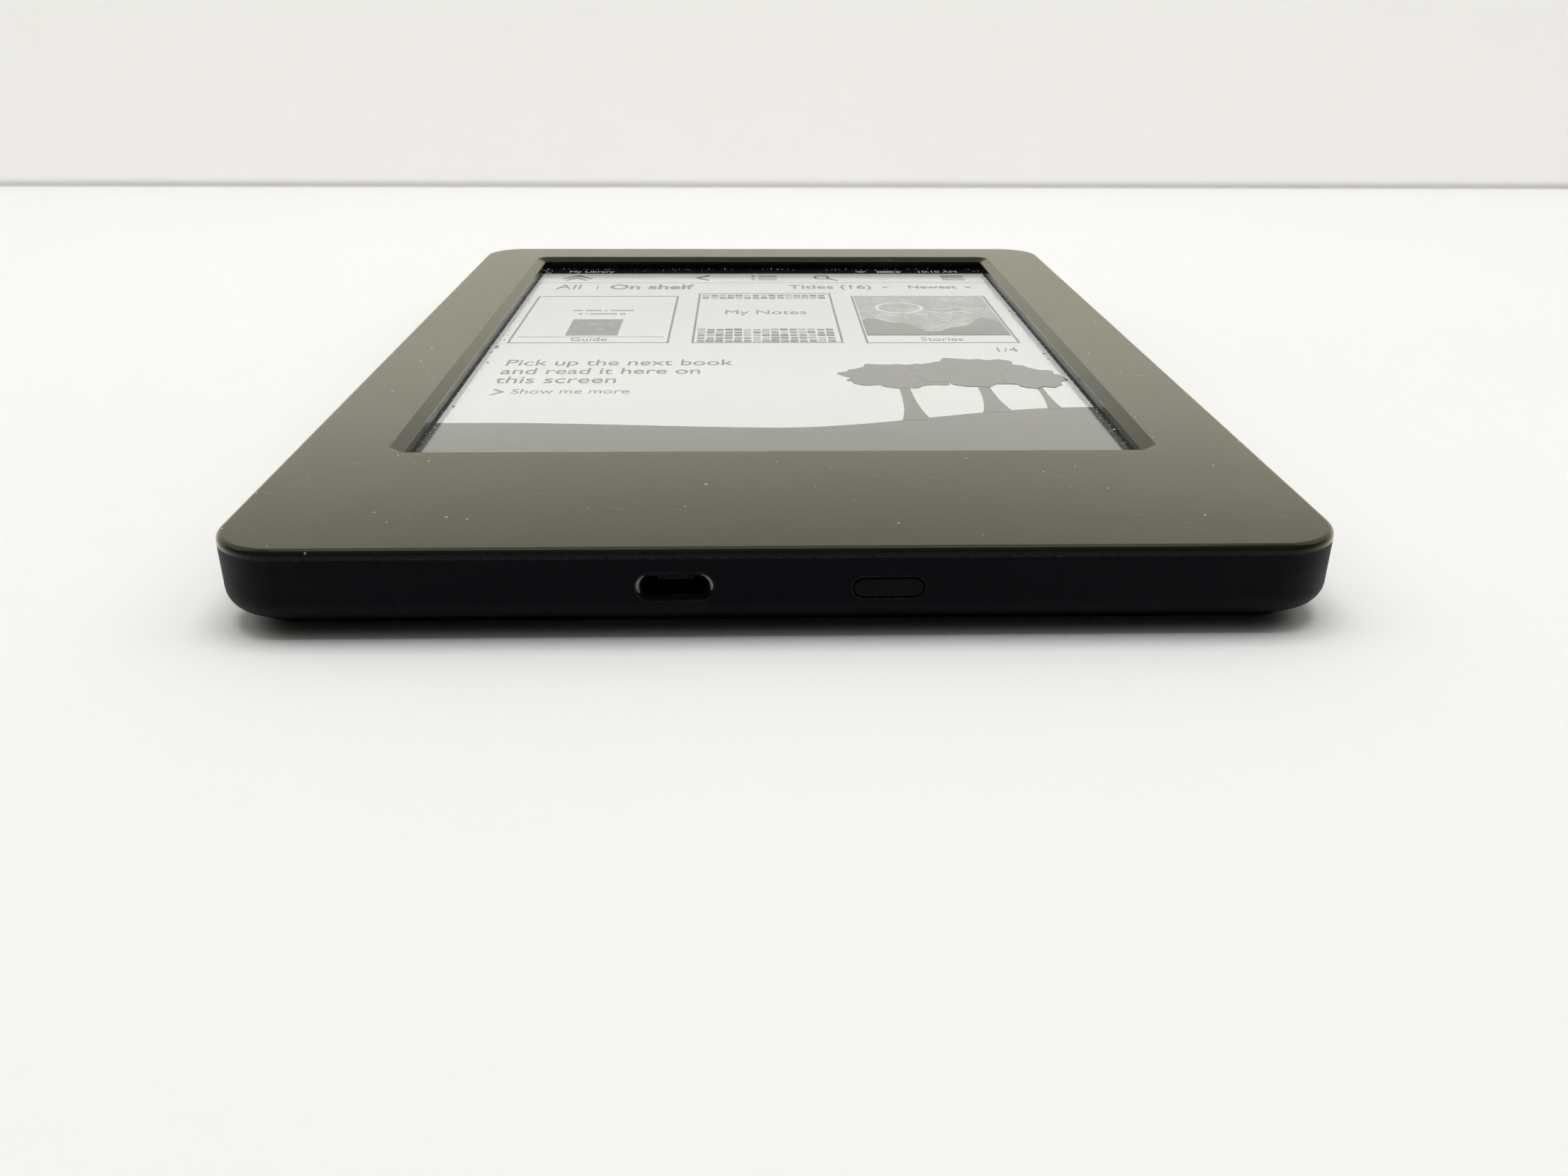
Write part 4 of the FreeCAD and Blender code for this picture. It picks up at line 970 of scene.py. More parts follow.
CARRIED = (
    CarriedParts("casing", ("rear_cover", "front_bezel", "dust_seal")),
    CarriedParts("window", ("light_guide_frame",)),
    CarriedParts(
        "display",
        ("epaper_sheet", "tft_backplane", "display_pads", "display_driver", "screen_flex"),
    ),
    CarriedParts("touch", ("touch_board", "ir_emitters", "ir_detectors", "touch_chip", "touch_flex")),
    CarriedParts("frame", ("midframe", "frame_screws", "board_screws")),
    CarriedParts(
        "main board",
        ("main_board", "processor", "memory_chip", "storage_chip", "power_chip", "panel_power_chip",
         "radio_chip", "rf_shield", "indicator_led", "inductors", "capacitors", "display_connector",
         "touch_connector"),
    ),
    CarriedParts("antenna", ("antenna_carrier", "antenna_strip", "antenna_cable")),
    CarriedParts(
        "battery",
        ("battery_cell", "battery_tape", "battery_board", "battery_header", "battery_plug", "battery_leads"),
    ),
    CarriedParts(
        "charge port",
        ("port_shell", "port_tongue", "port_contacts"),
        {"port_shell": PORT_STEEL, "port_tongue": PORT_RESIN},
    ),
    CarriedParts("power switch", ("switch_body", "switch_plunger", "power_button")),
)  # fmt: skip


@dataclass
class PortRimHighlight:
    """A painted highlight: pale crescents at both ends of the bevel round the charging socket.

    All lengths are in millimetres and all turns in degrees, from the right and anticlockwise.

    Attributes:
        middle: X and Z of the middle of the socket.
        straight: Half the straight part of the socket's outline.
        outer: Radius of its round ends at the front face.
        front: Y of the front face.
        inset: How far inside the outer radius the middle of a crescent runs.
        reach: How far a crescent swells outwards and inwards from there.
        turns: Where the left and the right crescent start and end.
        lift: How far the painted highlight stands off the bevel.
    """

    middle: tuple[float, float] = (-11.1, 5.9)
    straight: float = 2.5
    outer: float = 1.6
    front: float = -84.5
    inset: float = 0.27
    reach: tuple[float, float] = (0.17, 0.19)
    turns: tuple[tuple[float, float], tuple[float, float]] = ((118.0, 214.0), (76.0, -22.0))
    lift: float = 0.012

    def build(self) -> None:
        """Builds a crescent at each end, as one piece."""
        ends = [self.crescent(side, *turn) for side, turn in zip((-1.0, 1.0), self.turns)]
        # The crescents are a painted highlight where the socket's bevel catches the light.
        new_piece("port_rim_painted_highlight", Solid.join(ends), RIM_HIGHLIGHT, Body.CASE)

    def crescent(self, side: float, start: float, end: float) -> Solid:
        """A crescent on the cone of the bevel, whose depth is the outer radius less the radius.

        Its width follows the square root of the sine of the way along it.

        Args:
            side: -1 for the left end, 1 for the right one.
            start: Where it starts.
            end: Where it ends.

        Returns:
            The crescent, in metres.
        """
        count, blunt = 26, 0.08
        turn = np.radians(np.linspace(start, end, count))
        swell = np.sqrt(np.sin(np.linspace(blunt, np.pi - blunt, count)))
        path = self.outer - self.inset
        radii = (path + self.reach[0] * swell, path - self.reach[1] * swell)
        outer, inner = [np.column_stack([r * np.cos(turn), r * np.sin(turn)]) for r in radii]
        outline = np.vstack([outer, inner[::-1]])
        if side > 0.0:
            outline = outline[::-1]
        flat = prism(outline, 0.0, self.lift)
        x, z, rise = flat.points.T
        y = self.front + self.outer - np.hypot(x, z) - rise
        x = x + self.middle[0] + side * self.straight
        points = np.column_stack([x, y, z + self.middle[1]]) * MM
        return Solid(points, flat.faces)


# ---------------------------------------------------------------------------------------------
# The page on the ink sheet


@dataclass(frozen=True)
class Tree:
    """A tree on the page, in millimetres.

    Attributes:
        middle: X of the tree.
        high: Y of the middle of its crown.
        wide: Half width of the crown.
        tall: Half height of the crown.
    """

    middle: float
    high: float
    wide: float
    tall: float


@dataclass
class Page:
    """The page that the ink sheet shows, as thin solid marks on top of the sheet.

    All places are in millimetres from the middle of the case. Marks that lie on other marks start
    one ink layer higher.

    Attributes:
        side: Half width of the area that shows ink.
        foot: Lower end of that area.
        head: Upper end of it.
        bar_foot: Lower edge of the status bar.
        sheet_reach: Half width, lower end and upper end of the band of painted shade round it.
        sheet_top: Level of the top of the sheet, in metres.
        box_pen: Width of the line round a cover.
        trees: The clump of trees on the hill.
    """

    side: float = 46.1
    foot: float = -52.2
    head: float = 71.4
    bar_foot: float = 67.8
    sheet_reach: tuple[float, float, float] = (47.3, -53.3, 73.7)
    sheet_top: float = field(default_factory=lambda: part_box("epaper_sheet")[1].z)
    box_pen: float = 0.4
    trees: tuple[Tree, ...] = (
        Tree(20.0, -11.5, 8.8, 6.8),
        Tree(32.0, -9.6, 9.6, 8.0),
        Tree(40.4, -13.2, 4.8, 5.4),
    )

    def build(self) -> None:
        """Builds every group of marks."""
        self.wall_foot_shade()
        self.status_bar()
        self.toolbar()
        self.tabs()
        self.left_cover()
        self.middle_cover()
        self.right_cover()
        self.message()
        self.landscape()

    def level(self, layer: int) -> float:
        """Underside of an ink layer: 0 lies on the sheet, 1 on a mark."""
        return self.sheet_top + layer * INK_THICK

    def mark(self, outline: np.ndarray, layer: int = 0) -> Solid:
        """An outline in millimetres as a flat mark."""
        return prism(outline * MM, self.level(layer), self.level(layer + 1))

    def hollow(self, outer: np.ndarray, inner: np.ndarray, layer: int = 0) -> Solid:
        """Two outlines in millimetres as a flat ring."""
        return band(outer * MM, inner * MM, self.level(layer), self.level(layer + 1))

    def box_line(self, left: float, low: float, right: float, high: float) -> Solid:
        """Draws the line round a cover, inside its edges.

        Args:
            left: Left edge.
            low: Lower edge.
            right: Right edge.
            high: Upper edge.

        Returns:
            The line as a flat ring.
        """
        pen = self.box_pen
        inner = rectangle(left + pen, low + pen, right - pen, high - pen)
        return self.hollow(rectangle(left, low, right, high), inner)

    def words(
        self, words: str, left: float, right: float, middle: float, layer: int = 0, bold: float = 0.0
    ) -> Solid:
        """A line of letters between two places in millimetres."""
        return letters(words, left * MM, right * MM, middle * MM, self.level(layer), bold)

    def put(self, name: str, solids: Iterable[Solid], finish: Finish) -> None:
        """Puts marks on the page as one piece."""
        new_piece(f"page_{name}", Solid.join(solids), finish, Body.CASE)

    def wall_foot_shade(self) -> None:
        """Painted shade: a glossy black band from the area that shows ink to the edge of the sheet, dark at
        the walls' foot.
        """
        side, foot, head = self.sheet_reach
        outer = rectangle(-side, foot, side, head)
        inner = rectangle(-self.side, self.foot, self.side, self.head)
        # The band is painted shade, standing in for the shade in the gap at the foot of the window's walls.
        self.put("wall_foot_shade", [self.hollow(outer, inner)], GUIDE)

    def status_bar(self) -> None:
        """The black bar with its name, its battery, its radio mark and its time in white."""
        bar = rectangle(-self.side, self.bar_foot, self.side, self.head)
        self.put("status_bar", [self.mark(bar)], BLACK_INK)
        row, left, right, dish = 69.7, 24.0, 28.6, (20.5, 68.6)
        case = rectangle(left, row - 1.0, right, row + 1.0)
        marks = [
            self.words("My Library", -41.0, -31.5, row, 1, 0.01),
            self.words("10:10 AM", 32.8, 41.0, row, 1, 0.01),
            self.hollow(case, rectangle(left + 0.35, row - 0.7, right - 0.35, row + 0.7), 1),
            self.mark(rectangle(left + 0.6, row - 0.45, left + 3.4, row + 0.45), 1),
            self.mark(rectangle(right, row - 0.4, right + 0.5, row + 0.4), 1),
            *[self.mark(stroke(arc(dish, reach, 45.0, 135.0), 0.4), 1) for reach in (0.8, 1.6)],
        ]
        self.put("status_marks", marks, WHITE_INK)

    def toolbar(self) -> None:
        """The row of buttons: home, back, list, search and menu, over a thin rule."""
        row, half, pen = 63.4, 2.5, 0.75
        roof = [(-2.9, -1.4), (0.0, 1.9), (2.9, -1.4)]
        home = [np.add(roof, (-38.5, row + 0.4)), np.add(np.multiply(roof, 0.72), (-38.5, row - 1.4))]
        back = [(-11.4, row + half), (-13.9, row), (-11.4, row - half)]
        lens = (11.9, row + 0.5)
        bars = (row - 1.9, row, row + 1.9)
        strokes = [
            *[self.mark(stroke(line, pen)) for line in home],
            self.mark(stroke(back, pen)),
            self.hollow(ellipse(lens, (1.7, 1.9)), ellipse(lens, (1.1, 1.3))),
            self.mark(stroke([(13.1, row - 0.7), (15.0, row - half)], pen)),
            *[self.mark(rectangle(-1.2, y - 0.3, 2.6, y + 0.3)) for y in bars],
            *[self.mark(ellipse((-2.3, y), (0.42, 0.42), 16)) for y in bars],
            *[self.mark(rectangle(36.8, y - 0.4, 41.6, y + 0.4)) for y in bars],
        ]
        self.put("toolbar", strokes, DARK_INK)
        self.put("rules", [self.mark(rectangle(-self.side, 58.5, self.side, 58.7))], MIDDLE_INK)

    def tabs(self) -> None:
        """The line of headings: two tabs, a count and an order, each with its arrow."""
        row = 54.0
        arrow = np.array([(-0.9, 0.5), (0.0, -0.6), (0.9, 0.5)])
        marks = [
            self.words("All", -41.7, -36.8, row),
            self.mark(rectangle(-33.6, row - 1.5, -33.35, row + 1.6)),
            self.words("On shelf", -31.0, -14.2, row, bold=0.022),
            self.words("Titles (16)", 4.8, 21.4, row, bold=0.012),
            self.words("Newest", 28.9, 38.6, row, bold=0.02),
            *[self.mark(arrow + (x, row)) for x in (24.2, 40.9)],
        ]
        self.put("tabs", marks, DARK_INK)

    def left_cover(self) -> None:
        """A plain cover: greeked title lines over a dark block, in a thin box."""
        left, low, right, high = -44.0, 9.1, -16.8, 45.8
        self.put("cover_left_box", [self.box_line(left, low, right, high)], DARK_INK)
        random = np.random.default_rng(11)
        title = [
            *self.greek(random, -35.8, -24.6, 33.5, 0.75),
            *self.greek(random, -34.5, -25.9, 30.7, 0.75),
        ]
        self.put("cover_left_title", title, MIDDLE_INK)
        self.put("cover_left_block", [self.mark(rectangle(-34.9, 14.4, -25.9, 26.4))], MIDDLE_INK)
        block = [
            *self.greek(random, -33.4, -27.4, 22.6, 0.7, 1),
            self.mark(rectangle(-33.9, 20.6, -26.9, 20.9), 1),
            *self.greek(random, -32.2, -28.6, 18.4, 0.6, 1),
        ]
        self.put("cover_left_marks", block, PALE_INK)
        rule = self.mark(rectangle(left + 1.2, 13.3, right - 1.2, 13.5))
        label = [self.words("Guide", -33.6, -27.4, 11.4), rule]
        self.put("cover_left_label", label, DARK_INK)

    def greek(
        self, random: np.random.Generator, left: float, right: float, y: float, tall: float, layer: int = 0
    ) -> list[Solid]:
        """A line of words too small to read, as bars of uneven length.

        Args:
            random: The random draws, three for a line.
            left: Where the line starts.
            right: Where it ends.
            y: Its middle.
            tall: Height of the bars.
            layer: The ink layer that it lies in.

        Returns:
            The bars.
        """
        margin, gap, least = 0.8, 0.25, 0.2
        cuts = np.sort(random.uniform(left + margin, right - margin, 3))
        starts = np.concatenate([[left], cuts + gap])
        ends = np.concatenate([cuts - gap, [right]])
        return [
            self.mark(rectangle(a, y - tall / 2.0, b, y + tall / 2.0), layer)
            for a, b in zip(starts, ends)
            if b - a > least
        ]

    def middle_cover(self) -> None:
        """A cover with a mosaic above and below a blank band that says what it holds."""
        left, low, right, high = -13.0, 9.0, 12.8, 48.3
        self.put("cover_middle_box", [self.box_line(left, low, right, high)], DARK_INK)
        random = np.random.default_rng(23)
        inks = {"dark": DARK_INK, "middle": MIDDLE_INK, "pale": PALE_INK}
        tiles: dict[str, list[Solid]] = {name: [] for name in inks}
        wide, tall, columns = 1.6, 2.0, 15
        for foot, rows in ((low + 0.7, 5), (high - 4.8, 2)):
            for row in range(rows):
                for column in range(columns):
                    x, y = left + 0.7 + column * wide, foot + row * tall
                    shift = random.uniform(0.0, 0.5)
                    tile = rectangle(x + shift * 0.5, y, x + wide - 0.15, y + tall - 0.3 - shift)
                    tiles[list(inks)[random.integers(0, 3)]].append(self.mark(tile))
        for name, solids in tiles.items():
            self.put(f"cover_middle_{name}", solids, inks[name])
        self.put("cover_middle_words", [self.words("My Notes", -7.6, 7.4, 31.6)], DARK_INK)

    def right_cover(self) -> None:
        """A cover with a picture of a sun over hills, in bands of grey, and a label below it.

        The outline of each range of hills is a level plus two sines of the way along it.
        """
        left, low, right, high = 16.6, 8.8, 42.8, 45.7
        self.put("cover_right_box", [self.box_line(left, low, right, high)], DARK_INK)
        start, end, base = left + 0.6, right - 0.6, 14.2
        self.put("cover_right_sky", [self.mark(rectangle(start, base, end, high - 0.7))], SKY_INK)
        x = np.linspace(start, end, 40)
        along = x - left
        far = base + 7.5 + 4.5 * np.sin(along * 0.31 + 0.6) + 1.2 * np.sin(along * 0.9)
        near = base + 3.0 + 2.4 * np.sin(along * 0.22 + 3.4) + 0.5 * np.sin(along * 1.3)
        floor = np.array([[start, base], [end, base]])
        for name, line, layer, finish in (("far", far, 1, MIDDLE_INK), ("near", near, 2, DARK_INK)):
            outline = np.vstack([np.column_stack([x, line])[::-1], floor])
            self.put(f"cover_right_{name}", [self.mark(outline, layer)], finish)
        sun = (25.0, 35.5)
        marks = [self.hollow(ellipse(sun, (4.6, 4.6)), ellipse(sun, (3.9, 3.9)), 1)]
        for y, t in ((35.0, np.linspace(31.0, 40.0, 30)), (31.8, np.linspace(29.5, 38.5, 30))):
            wave = np.column_stack([t, y + 0.8 * np.sin(t * 1.1)])
            marks.append(self.mark(stroke(wave, 0.5), 1))
        self.put("cover_right_sun", marks, WHITE_INK)
        self.put("cover_right_label", [self.words("Stories", 26.2, 33.4, 11.2)], DARK_INK)

    def message(self) -> None:
        """The page count, the message in three lines and the line with its chevron."""
        lines = [
            self.words("Pick up the next book", -41.8, -5.8, -3.9, bold=0.004),
            self.words("and read it here on", -41.8, -10.9, -8.9, bold=0.004),
            self.words("this screen", -41.8, -23.5, -13.9, bold=0.004),
        ]
        self.put("message", lines, DARK_INK)
        link = [
            self.words("Show me more", -38.4, -21.0, -20.0),
            self.mark(stroke([(-41.2, -18.5), (-39.7, -20.0), (-41.2, -21.5)], 0.5)),
        ]
        self.put("link", link, MIDDLE_INK)
        self.put("page_count", [self.words("1/4", 38.0, 41.4, 3.9)], DARK_INK)

    def landscape(self) -> None:
        """A hill that swells to the right, with a clump of round trees on it.

        The trunks lie on the hill, and each crown lies above the last.
        """
        x = np.linspace(-self.side, self.side, 90)
        crest = np.column_stack([x, self.hill_line(x)])
        base = np.array([[-self.side, self.foot], [self.side, self.foot]])
        self.put("hill", [self.mark(np.vstack([crest[::-1], base]))], HILL_INK)
        trees: list[Solid] = []
        for index, tree in enumerate(self.trees):
            trees.append(self.mark(self.crown(tree, index), 2 + index))
            trees.append(self.mark(self.trunk(tree), 1))
        self.put("trees", trees, TREE_INK)

    @staticmethod
    def hill_line(x: np.ndarray) -> np.ndarray:
        """Height of the hill: a smooth step down from the left edge, and one up to the right.

        A smooth step is three times the square of the way along it, less twice its cube.

        Args:
            x: Places along the page.

        Returns:
            The height at each place.
        """
        left, dip, rise, reach = -35.0, 2.6, 9.2, 45.0
        down = np.clip((x + 40.0) / reach, 0.0, 1.0)
        up = np.clip(x / reach, 0.0, 1.0)
        return left - dip * down**2 * (3.0 - 2.0 * down) + rise * up**2 * (3.0 - 2.0 * up)

    @staticmethod
    def crown(tree: Tree, index: int) -> np.ndarray:
        """A tree's crown: an ellipse whose radius swings in lobes of 7, 13 and 22 to the turn.

        Args:
            tree: The tree.
            index: Its number, which sets how the lobes are turned.

        Returns:
            The outline, anticlockwise.
        """
        turn = np.linspace(0.0, 2.0 * np.pi, 120, endpoint=False)
        swing = 1.0 + 0.07 * np.sin(7 * turn + index) + 0.04 * np.sin(13 * turn + 2 * index)
        swing += 0.025 * np.sin(22 * turn + 3 * index)
        x = tree.middle + tree.wide * swing * np.cos(turn)
        return np.column_stack([x, tree.high + tree.tall * swing * np.sin(turn)])

    def trunk(self, tree: Tree) -> np.ndarray:
        """A trunk from the crown down to the hill, wider with the fourth power of the way down.

        Args:
            tree: The tree.

        Returns:
            The outline, anticlockwise.
        """
        down = np.linspace(0.0, 1.0, 12)
        ground = float(self.hill_line(np.array(tree.middle))) - 0.6
        y = tree.high + (ground - tree.high) * down
        reach = 0.09 * tree.wide * (1.0 + 1.6 * down**4)
        right = np.column_stack([tree.middle + reach, y])
        left = np.column_stack([tree.middle - reach, y])
        return np.vstack([left, right[::-1]])


# ---------------------------------------------------------------------------------------------
# Dust


WINDOW_SIDE = 46.4 * MM
WINDOW_FOOT = -52.45 * MM
WINDOW_HEAD = 72.9 * MM


@dataclass
class Dust:
    """Specks and lint that have settled on the sheet, along the walls of the window.

    Attributes:
        specks: How many specks there are.
        fibres: How many threads there are.
        seed: Start of the random draws.
        speck: Middle value of a speck's half width.
        uneven: Spread of the logarithm of that half width.
        speck_strip: How far from the walls the specks lie.
        lint_strip: How far from the walls the middles of the threads lie.
        lint_margin: How close to a wall such a middle comes at most.
        lint_radius: Radius of a thread.
    """

    specks: int = 700
    fibres: int = 34
    seed: int = 7
    speck: float = 0.065 * MM
    uneven: float = 0.55
    speck_strip: float = 1.6 * MM
    lint_strip: float = 1.2 * MM
    lint_margin: float = 0.7 * MM
    lint_radius: float = 0.017 * MM

    def build(self) -> None:
        """Builds the specks and the lint."""
        random = np.random.default_rng(self.seed)
        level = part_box("epaper_sheet")[1].z
        self.window_specks(random, level)
        self.window_lint(random, level)

    @staticmethod
    def along_window(random: np.random.Generator, count: int, strip: float) -> np.ndarray:
        """Places along the window's four walls, most of them close to one.

        Args:
            random: The random draws.
            count: How many places.
            strip: How far from the wall they reach.

        Returns:
            X and Y of the places, in metres.
        """
        side, foot, head = WINDOW_SIDE, WINDOW_FOOT, WINDOW_HEAD
        shares = (0.38, 0.38, 0.1, 0.14)
        inset = np.minimum(random.exponential(strip / 2.5, count), strip) + 0.05 * MM
        edge = random.choice(4, count, p=shares)
        x = random.uniform(-side, side, count)
        y = random.uniform(foot, head, count)
        x = np.where(edge == 0, -side + inset, np.where(edge == 1, side - inset, x))
        y = np.where(edge == 2, foot + inset, np.where(edge == 3, head - inset, y))
        return np.column_stack([x, y])

    def window_specks(self, random: np.random.Generator, level: float) -> None:
        """Small flakes of uneven size and turn.

        Args:
            random: The random draws.
            level: Top of the sheet.
        """
        where = self.along_window(random, self.specks, self.speck_strip)
        wide = random.lognormal(math.log(self.speck / MM), self.uneven, self.specks) * MM
        reach = np.column_stack([wide, wide * random.uniform(0.4, 1.0, self.specks), wide * 0.45])
        places = np.column_stack([where, level + reach[:, 2]])
        turns = random.uniform(0.0, 2.0 * np.pi, self.specks)
        new_piece("window_specks", scatter(flake(), places, reach, turns), DUST, Body.CASE)

    def window_lint(self, random: np.random.Generator, level: float) -> None:
        """Short threads, each of them an arc that rises to its middle by the square of the way.

        Args:
            random: The random draws.
            level: Top of the sheet.
        """
        steps = np.linspace(-0.5, 0.5, 14)
        side, foot, head = WINDOW_SIDE, WINDOW_FOOT, WINDOW_HEAD
        margin, rise = self.lint_margin, 0.06 * MM
        middle = self.along_window(random, self.fibres, self.lint_strip)
        middle = np.clip(middle, (-side + margin, foot + margin), (side - margin, head - margin))
        long = random.uniform(0.5, 1.3, self.fibres)[:, None] * MM
        bend = random.uniform(-2.2, 2.2, self.fibres)[:, None]
        heading = random.uniform(0.0, 2.0 * np.pi, self.fibres)[:, None] + bend * steps
        x = middle[:, :1] + np.cumsum(np.cos(heading), axis=1) * long / len(steps)
        y = middle[:, 1:] + np.cumsum(np.sin(heading), axis=1) * long / len(steps)
        arch = rise * (0.25 - steps**2)
        z = level + self.lint_radius + arch * random.uniform(0.0, 3.0, self.fibres)[:, None]
        lines = np.stack([x, y, z], axis=-1)
        new_piece("window_lint", threads(lines, self.lint_radius), DUST, Body.CASE, smooth=True)


# ---------------------------------------------------------------------------------------------
# The studio


@dataclass(frozen=True)
class Lamp:
    """A square soft box, in metres and watts.

    Attributes:
        name: Name of the lamp.
        place: Its middle.
        aim: The point that it faces.
        size: Length of its side.
        power: Its power.
    """

    name: str
    place: tuple[float, float, float]
    aim: tuple[float, float, float]
    size: float
    power: float


@dataclass
class Studio:
    """A pale table that turns up into a pale wall, soft light, and the camera.

    Attributes:
        wall: How far behind the middle of the reader the wall stands.
        cove: Radius of the curve between table and wall.
        wide: Half width of table and wall.
        front: Y of the front edge of the table.
        tall: Height of the wall.
        wall_glow: Glow of the wall's foot, which the camera sees all over it.
        band_glow: Glow of the band above it, seen only by shiny surfaces.
        top_glow: Glow above the band, seen only by them too.
        dark_room: Light from the front, where the room is dark.
        pale_room: Light from behind and overhead.
        seen_room: The room that the camera sees.
        lamps: The soft boxes.
        camera_place: Where the camera stands.
        camera_yaw: Its turn to the right, in radians.
        camera_pitch: Its look down.
        camera_roll: Its roll, anticlockwise.
        camera_lens: Its focal length in millimetres, for a sensor 36 wide.
    """

    wall: float = 0.2585
    cove: float = 0.0008
    wide: float = 1.6
    front: float = -1.4
    tall: float = 1.2
    wall_glow: Colour = (0.35, 0.345, 0.335)
    band_glow: Colour = (0.635, 0.64, 0.55)
    top_glow: Colour = (0.32, 0.31, 0.23)
    dark_room: Colour = (0.028, 0.025, 0.022)
    pale_room: Colour = (0.6, 0.595, 0.585)
    seen_room: Colour = (0.78, 0.775, 0.76)
    lamps: tuple[Lamp, ...] = (
        Lamp("overhead", (0.0, 0.2, 0.98), (0.0, -0.08, 0.0), 0.85, 11.8),
        Lamp("left", (-0.9, 0.1, 0.9), (0.0, 0.0, 0.0), 0.6, 2.2),
        Lamp("right", (0.9, 0.1, 0.9), (0.0, 0.0, 0.0), 0.6, 2.2),
    )
    camera_place: tuple[float, float, float] = (-3.254 * MM, -204.326 * MM, 61.458 * MM)
    camera_yaw: float = 0.0288
    camera_pitch: float = 0.4351
    camera_roll: float = 0.0057
    camera_lens: float = 29.36

    def build(self) -> None:
        """Builds the table, the wall, the lights and the camera."""
        self.sweep("studio_table", self.table_line(), self.table_finish())
        self.sweep("studio_wall", self.wall_line(), self.wall_finish())
        self.sky()
        for lamp in self.lamps:
            self.hang(lamp)
        self.camera()

    def table_line(self) -> np.ndarray:
        """Y and Z of the table, from its front edge to the foot of the cove."""
        return np.array([(self.front, 0.0), (self.wall - self.cove, 0.0)])

    def wall_line(self) -> np.ndarray:
        """Y and Z of the cove, a quarter circle, and of the wall above it.

        Returns:
            The line, from its foot up.
        """
        turn = np.linspace(0.0, np.pi / 2.0, 12)
        y = self.wall - self.cove * (1.0 - np.sin(turn))
        cove = np.column_stack([y, self.cove * (1.0 - np.cos(turn))])
        return np.vstack([cove, [(self.wall, self.tall)]])

    def sweep(self, name: str, line: np.ndarray, material: bpy.types.Material) -> None:
        """Carries a line in Y and Z from one side to the other, facing up and forward.

        Args:
            name: Name of the piece.
            line: Y and Z of its points.
            material: What it is made of.
        """
        count = len(line)
        points = np.vstack([np.column_stack([np.full(count, x), line]) for x in (-self.wide, self.wide)])
        near = np.arange(count - 1)
        faces = np.stack([near, near + count, near + count + 1, near + 1], axis=1)
        piece = surface(name, points, faces.tolist(), True, material)

    @staticmethod
    def paper(name: str, dark: Colour, light: Colour) -> tuple[bpy.types.Material, Graph, bpy.types.Node]:
        """Makes a matt paper with a faint cloudiness.

        Args:
            name: Name of the material.
            dark: Its darker colour.
            light: Its lighter colour.

        Returns:
            The material, its nodes and its shader.
        """
        material = bpy.data.materials.new(name)
        graph = Graph.emptied(material)
        place = graph.add("TexCoord").outputs["Object"]
        colour = graph.mix(graph.noise(place, 7.0, 3.0), dark, light)
        sockets = {"Base Color": colour, "Roughness": 0.9, "Specular IOR Level": 0.1}
        shader = graph.add("BsdfPrincipled", sockets)
        graph.add("OutputMaterial", {"Surface": shader.outputs[0]})
        return material, graph, shader

    def table_finish(self) -> bpy.types.Material:
        """White card."""
        return self.paper("studio_card", (0.8, 0.8, 0.8), (0.83, 0.83, 0.83))[0]

    def wall_finish(self) -> bpy.types.Material:
        """Pale paper with a faint glow, which shiny surfaces see warmer and stronger higher up.

        Returns:
            The material.
        """
        material, graph, shader = self.paper("studio_wall", (0.78, 0.77, 0.745), (0.81, 0.8, 0.775))
        place = graph.add("TexCoord").outputs["Object"]
        height = graph.add("SeparateXYZ", {0: place}).outputs[2]
        glow = graph.mix(graph.ease(height, (0.055, 0.085), UNIT), self.wall_glow, self.band_glow)
        glow = graph.mix(graph.ease(height, (0.12, 0.17), UNIT), glow, self.top_glow)
        glow = graph.mix(graph.add("LightPath").outputs["Is Camera Ray"], glow, self.wall_glow)
        graph.feed(shader, "Emission Color", glow)
        graph.feed(shader, "Emission Strength", graph.ease(height, (0.0005, 0.003), UNIT))
        return material

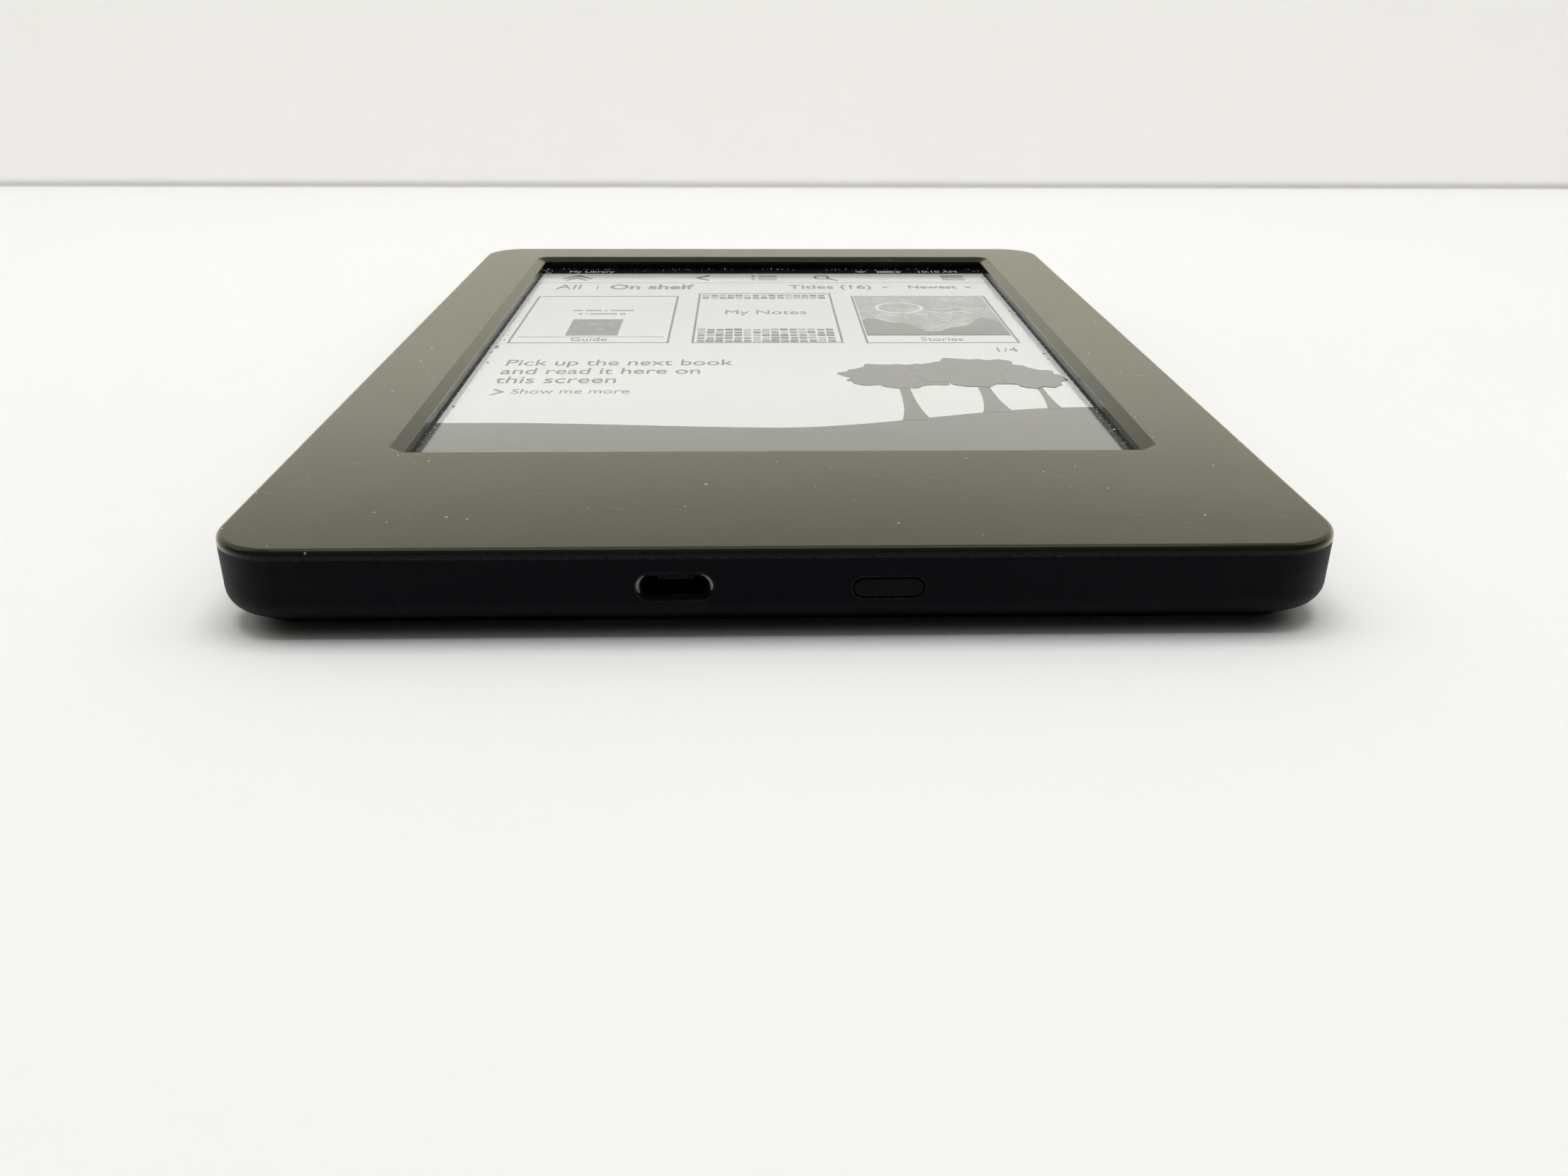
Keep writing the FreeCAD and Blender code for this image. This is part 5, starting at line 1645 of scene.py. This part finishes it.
    def sky(self) -> None:
        """Lights the scene from behind and overhead, and next to not at all from the front.

        The camera itself sees a pale room on every side.
        """
        world = bpy.data.worlds.new("studio_light")
        bpy.context.scene.world = world
        graph = Graph.emptied(world)
        toward = graph.add("SeparateXYZ", {0: graph.add("TexCoord").outputs["Generated"]}).outputs
        back = graph.ease(toward[1], (-0.3, 0.5), (0.0, 0.6))
        up = graph.ease(toward[2], (0.68, 0.95), UNIT)
        colour = graph.mix(graph.math("MAXIMUM", back, up), self.dark_room, self.pale_room)
        seen = graph.add("LightPath").outputs["Is Camera Ray"]
        light = graph.add("Background", {"Color": graph.mix(seen, colour, self.seen_room)})
        graph.add("OutputWorld", {"Surface": light.outputs[0]})

    @staticmethod
    def hang(lamp: Lamp) -> None:
        """Hangs a soft box so that it faces its aim.

        Args:
            lamp: The soft box.
        """
        data = bpy.data.lights.new(lamp.name, "AREA")
        data.size = lamp.size
        data.energy = lamp.power
        box = bpy.data.objects.new(lamp.name, data)
        box.location = lamp.place
        ahead = Vector(lamp.aim) - Vector(lamp.place)
        box.rotation_euler = ahead.to_track_quat("-Z", "Y").to_euler()
        bpy.context.scene.collection.objects.link(box)

    def camera(self) -> None:
        """Sets up the camera: turned by its yaw and pitch, then rolled about its own axis."""
        yaw, pitch, roll = self.camera_yaw, self.camera_pitch, self.camera_roll
        flat = math.cos(pitch)
        ahead = Vector((math.sin(yaw) * flat, math.cos(yaw) * flat, -math.sin(pitch)))
        level = Vector((math.cos(yaw), -math.sin(yaw), 0.0))
        above = level.cross(ahead)
        right = level * math.cos(roll) + above * math.sin(roll)
        up = above * math.cos(roll) - level * math.sin(roll)
        data = bpy.data.cameras.new("camera")
        data.lens = self.camera_lens
        data.sensor_width = 36.0
        data.clip_start = 0.002
        data.clip_end = 10.0
        view = bpy.data.objects.new("camera", data)
        turn = Matrix((right, up, -ahead)).transposed().to_4x4()
        view.matrix_world = Matrix.Translation(self.camera_place) @ turn
        bpy.context.scene.collection.objects.link(view)
        bpy.context.scene.camera = view


def main() -> None:
    """Dresses the CAD nodes, then builds the painted highlight on the socket's bevel, the page, the dust and
    the studio.
    """
    logging.basicConfig(level=logging.INFO, format="%(name)s: %(message)s")
    for parts in CARRIED:
        parts.dress()
    PortRimHighlight().build()
    Page().build()
    Dust().build()
    Studio().build()
    bpy.context.scene.view_settings.view_transform = "Standard"


if __name__ == "__main__":
    main()
